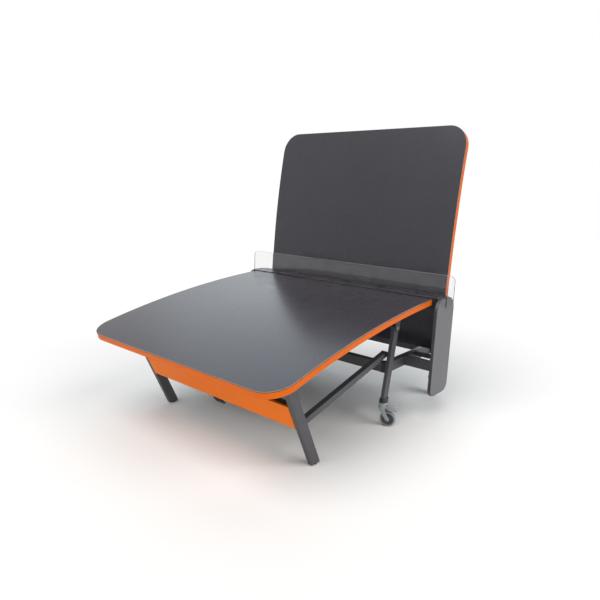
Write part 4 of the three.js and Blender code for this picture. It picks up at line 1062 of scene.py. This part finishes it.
LEG_DOWN = np.array([-math.sin(math.radians(LEG_DEGREES)), -math.cos(math.radians(LEG_DEGREES))])
LEG_BACK = np.array([LEG_DOWN[1], -LEG_DOWN[0]])
LEG_LENGTH = (LEG_PIVOT[1] - FOOT_HEIGHT - FIT) / -LEG_DOWN[1]
STRUT_BOLT = LEG_PIVOT + LEG_DOWN * STRUT_FROM_LEG_PIVOT


def on_leg(down, behind):
    """(u, z) of places given by a distance down the leg from its pivot and a depth behind its front face."""
    down, behind = np.asarray(down, float), np.asarray(behind, float)
    return LEG_PIVOT + LEG_DOWN * down[..., None] + LEG_BACK * (behind[..., None] - LEG_DEPTH / 2)


def from_leg(skins):
    """Skins drawn at (x, down, behind) on the leg, moved to (x, u, z)."""
    for part in skins:
        points = part["points"]
        place = on_leg(points[..., 1], points[..., 2])
        part["points"] = np.concatenate([points[..., :1], place], -1)
    return skins


def outer_leg(side):
    """A flat tube with rounded edges, round at its pivot and cut level at its foot."""
    rise = LEG_DEPTH / 2 * LEG_DOWN[0] / LEG_DOWN[1]
    top = arc((0, LEG_DEPTH / 2), LEG_DEPTH / 2, 90, 270, 16)
    outline = np.vstack([top, [(LEG_LENGTH - rise, 0), (LEG_LENGTH + rise, LEG_DEPTH)]])
    limits = span(side, LEG_X - LEG_WIDTH / 2, LEG_X + LEG_WIDTH / 2)
    return from_leg([prism(outline, *limits, LEG_ROUNDING)])


def glide(side):
    """A black plug in the leg's end with a rim that shows below it, on a round foot."""
    x, u = side * LEG_X, on_leg(LEG_LENGTH, LEG_DEPTH / 2)[0]
    half = LEG_DEPTH / 2 / -LEG_DOWN[1] - GLIDE_RIM_INSET
    rim = rounded_box((x - GLIDE_RIM_HALF, u - half), (x + GLIDE_RIM_HALF, u + half), 2, 4)
    edge = GLIDE_RADIUS
    foot = [(8.8, 0), (edge - 0.3, 0.5), (edge, 1.4), (edge, 4.2), (9.4, FOOT_HEIGHT + 1)]
    return [
        lathe(foot, (x, u, 0), facets=36),
        prism(rim, FOOT_HEIGHT - 0.6, GLIDE_PLUG_TOP, 0.6, (0, 1, 2)),
    ]


def crossbar():
    """A rectangular tube between the legs, with a bead of weld round each end."""
    x = LEG_X - LEG_WIDTH / 2 - FIT
    front = (LEG_DEPTH - CROSSBAR_DEPTH) / 2
    low, high = (CROSSBAR_DOWN, front), (CROSSBAR_DOWN + CROSSBAR_HEIGHT, front + CROSSBAR_DEPTH)
    beads = [weld_bead(side * (x - 1.6), low, high, CROSSBAR_BEAD) for side in SIDES.values()]
    return from_leg([prism(rounded_box(low, high, 3, 5), -x, x, 0.3), *beads])


def panel_ring(inset, behind, notch=0):
    """A ring of the tray in the leg's plane, drawn in by inset, with the handle's recess in its lower edge
    raised by notch; behind is its depth."""
    low, high = PANEL_DOWN + inset, PANEL_DOWN + PANEL_HEIGHT - inset
    half, radius = PANEL_HALF - inset, max(PANEL_CORNER - inset, 0.6)
    door = HANDLE_WIDTH / 2 + FIT
    flat = np.vstack([
        arc((half - radius, low + radius), radius, 0, -90, 4),
        arc((-half + radius, low + radius), radius, 270, 180, 4),
        arc((-half + radius, high - radius), radius, 180, 90, 4),
        [(-door, high), (-door, high - notch), (door, high - notch), (door, high)],
        arc((half - radius, high - radius), radius, 90, 0, 4),
    ])
    return np.column_stack([flat, np.full(len(flat), behind)])


def panel():
    """A shallow folded tray, open behind: rings run over its rounded front edge, back along the flanges,
    over their edge and forwards again inside, with a face on the front and one on the inner floor. Two tabs
    hold it to the crossbar, and an ear at each side of the recess holds the handle's pin."""
    face = -PANEL_AHEAD
    back = face + PANEL_DEPTH
    flange = face + PANEL_BEND + 0.8
    rows = [panel_ring(PANEL_BEND * (1 - math.sin(t)), face + PANEL_BEND * (1 - math.cos(t))) for t in EDGE]
    rows += [
        panel_ring(0, flange),
        panel_ring(0, flange, PANEL_SHEET + HAIR),
        panel_ring(0, back, PANEL_SHEET + HAIR),
        panel_ring(PANEL_SHEET, back, HAIR),
        panel_ring(PANEL_SHEET, face + PANEL_SHEET, HAIR),
    ]
    skins = [skin(np.stack(rows), ends=(0, 0))]
    tab_end = (LEG_DEPTH - CROSSBAR_DEPTH) / 2 - FIT
    tab_half, tab_height = PANEL_TAB[0] / 2, PANEL_TAB[1]
    tab_top = PANEL_DOWN + PANEL_TAB_DOWN
    ear_start = HANDLE_WIDTH / 2 + FIT
    ear_low = PANEL_DOWN + PANEL_HEIGHT - 1
    ear = rounded_box((ear_low - PANEL_EAR[1], face + 1), (ear_low, back), (1, 1, 5, 5), 4)
    for side in SIDES.values():
        at = side * PANEL_TAB_X
        tab = rounded_box((at - tab_half, tab_top), (at + tab_half, tab_top + tab_height), 0.8, 3)
        skins.append(prism(tab, face + 1, tab_end, 0.4, (0, 1, 2)))
        skins.append(prism(ear, *span(side, ear_start, ear_start + PANEL_EAR[0]), 0.5))
    return from_leg(skins)


def handle():
    """A moulded grip: a plate with a turned-up lip, raised ribs across it, a barrel and its pin."""
    plane = (0, 1, 2)
    half = HANDLE_WIDTH / 2
    cut = HANDLE_CUT - half
    pin_down = PANEL_DOWN + PANEL_HEIGHT - HANDLE_PIN_UP
    end = PANEL_DOWN + PANEL_HEIGHT + HANDLE_DROP
    pin = (pin_down, HANDLE_BEHIND - PANEL_AHEAD)
    front = pin[1] - HANDLE_SHEET / 2
    outline = [
        (-half, pin_down), (half, pin_down), (half, end - 3), (half - 3, end),
        (cut, end), (cut, end - HANDLE_CUT), (-half, end - HANDLE_CUT),
    ]
    lip = [(cut, end - HANDLE_SHEET), (half, end - HANDLE_SHEET), (half, end), (cut, end)]
    skins = [
        prism(outline, front, front + HANDLE_SHEET, 0.8, plane),
        prism(lip, front, front + HANDLE_LIP, 0.8, plane),
    ]
    for down in np.arange(pin_down + 16, end - 6, RIB_STEP):
        start = (cut + 2) if down > end - HANDLE_CUT - 2 else 3 - half
        rib = rounded_box((start, down), (half - 3, down + RIB_WIDTH), 0.9, 3)
        skins.append(prism(rib, front - 1, front + 0.5, 0.4, plane))
    skins.append(prism(circle(pin, HANDLE_BARREL, 28), -half, half, 0.6))
    pin_end = half + HANDLE_PIN_OUT
    skins.append(prism(circle(pin, HANDLE_PIN, 20), -pin_end, pin_end, 0.4, finish=1))
    return from_leg(skins)


def strut(side):
    """A square tube with rounded edges and ends, between the caster leg's pin and the outer leg's bolt."""
    outline = long_box(STRUT_PIVOT, STRUT_BOLT, STRUT_SIZE, True, True)
    limits = span(side, STRUT_X - STRUT_SIZE / 2, STRUT_X + STRUT_SIZE / 2)
    return [prism(outline, *limits, STRUT_ROUNDING)]


def strut_bolt(side):
    """The bolt through the strut's outer end: a shank towards the leg and a hexagon head inside."""
    inner = STRUT_X - STRUT_SIZE / 2 - FIT
    shank = span(side, inner + 1, LEG_X - LEG_WIDTH / 2 - FIT)
    head = bolt_head(STRUT_BOLT, side * inner, -side, STRUT_HEAD)
    return [prism(circle(STRUT_BOLT, STRUT_PIN), *shank, 0.3), *head]


for end in ENDS:
    legs = standing(end, "legs")
    build(
        f"{end}_crossbar_tube", f"{end}_legs", legs, crossbar(), [GREY_COAT],
        f"{end}_crossbar",
    )
    build(
        f"{end}_orange_tray", f"{end}_legs", legs, panel(), [ORANGE_COAT_PAINTED_BRIGHTER],
        f"{end}_panel",
    )
    build(
        f"{end}_release_grip", f"{end}_handle", legs, handle(), [BLACK_PLASTIC, ZINC],
        f"{end}_handle",
    )
    for name, side in SIDES.items():
        tag = f"{end}_{name}"
        build(
            f"{tag}_outer_leg_tube", f"{end}_legs", legs, outer_leg(side), [GREY_COAT],
            f"{tag}_leg",
        )
        build(
            f"{tag}_leg_glide", f"{end}_legs", legs, glide(side), [BLACK_PLASTIC],
            f"{tag}_foot", 45,
        )
        arm = standing(end, "strut")
        build(
            f"{tag}_strut_tube", f"{tag}_strut", arm, strut(side), [GREY_COAT],
            f"{tag}_strut",
        )
        build(
            f"{tag}_strut_screw", f"{tag}_strut", arm, strut_bolt(side), [ZINC],
            f"{tag}_strut_bolt",
        )

# ------------------------------------------------------------ studio, in metres and degrees

SKY = 0.01
SKY_TONE = (1.0, 0.94, 0.88, 1.0)
FLOOR_HALF = 20.0
CAMERA_PLACE = (2.10036, -2.48001, 1.37238)
CAMERA_TURN = (78.644, -2.013, 39.663)
LENS = 31.2
LAMPS = {
    # two wide soft lamps: high in front of the table, and lower on its right
    "soft_front": {"power": 0.79, "width": 60, "turn": (34, 0), "tone": "#fffcf9"},
    "soft_right": {"power": 0.565, "width": 50, "turn": (-8.5, 57.6), "tone": "#fffcf9"},
    # a weak one, low in front, that reaches the panel under the board
    "low_fill": {"power": 0.06, "width": 50, "turn": (66, 8), "tone": "#fffefc"},
    # a wider one behind and to the left, which lays a cool sheen on the playing surface
    "soft_back": {"power": 0.25, "width": 66, "turn": (-38.6, -25.2), "tone": "#def3ff"},
}


def floor_sheet():
    """A flat sheet, forty metres square, half a millimetre under the wheels, in matt white."""
    edge = np.array([-FLOOR_HALF, FLOOR_HALF])
    x, y = np.meshgrid(edge, edge, indexing="ij")
    grid = np.stack([x, y, np.full_like(x, -MM / 2)], -1).reshape(-1, 3)
    mesh = bpy.data.meshes.new("studio_floor")
    mesh.from_pydata(grid, [], [(0, 2, 3, 1)])
    material, tree = blank("studio_paper_white")
    paper = add(tree, "BsdfDiffuse", {"Color": linear("#f8f8f8")})
    add(tree, "OutputMaterial", {"Surface": paper.outputs["BSDF"]})
    mesh.materials.append(material)
    floor = bpy.data.objects.new("studio_floor", mesh)
    bpy.context.scene.collection.objects.link(floor)


def sky():
    """A faint warm sky, and pure white where the camera, gloss or the clear sheet sees it."""
    world = bpy.data.worlds.new("studio_sky")
    world.use_nodes = True
    tree = world.node_tree
    tree.nodes.clear()
    ray = add(tree, "LightPath").outputs
    seen = add(tree, "Math", {0: ray["Is Camera Ray"], 1: ray["Is Glossy Ray"]}, operation="MAXIMUM")
    seen = add(tree, "Math", {0: seen.outputs[0], 1: ray["Is Transmission Ray"]}, operation="MAXIMUM")
    level = add(tree, "MapRange", {"Value": seen.outputs[0], "To Min": SKY, "To Max": 1.0})
    tone = add(tree, "Mix", {
        "Factor": seen.outputs[0], COLOUR_A: SKY_TONE, COLOUR_B: (1, 1, 1, 1),
    }, data_type="RGBA")
    light = add(tree, "Background", {
        "Color": tone.outputs[COLOUR_OUT], "Strength": level.outputs["Result"],
    })
    add(tree, "OutputWorld", {"Surface": light.outputs["Background"]})
    bpy.context.scene.world = world


def lamp(name, power, width, turn, tone):
    """A lamp at a great distance: its power, its width as an angle, and its turn from straight down."""
    light = bpy.data.lights.new(name, "SUN")
    light.energy = power * math.pi
    light.angle = math.radians(width)
    light.color = linear(tone)[:3]
    holder = bpy.data.objects.new(name, light)
    holder.rotation_euler = (math.radians(turn[0]), math.radians(turn[1]), 0)
    bpy.context.scene.collection.objects.link(holder)


def camera():
    """The camera, tipped up from straight down, rolled a little and then turned about the vertical."""
    lens = bpy.data.cameras.new("camera")
    lens.lens = LENS
    lens.sensor_width = 36
    lens.clip_end = 200
    holder = bpy.data.objects.new("camera", lens)
    holder.location = CAMERA_PLACE
    holder.rotation_euler = [math.radians(angle) for angle in CAMERA_TURN]
    bpy.context.scene.collection.objects.link(holder)
    bpy.context.scene.camera = holder


floor_sheet()
sky()
for name, settings in LAMPS.items():
    lamp(name, **settings)
camera()
bpy.context.scene.view_settings.view_transform = "Standard"
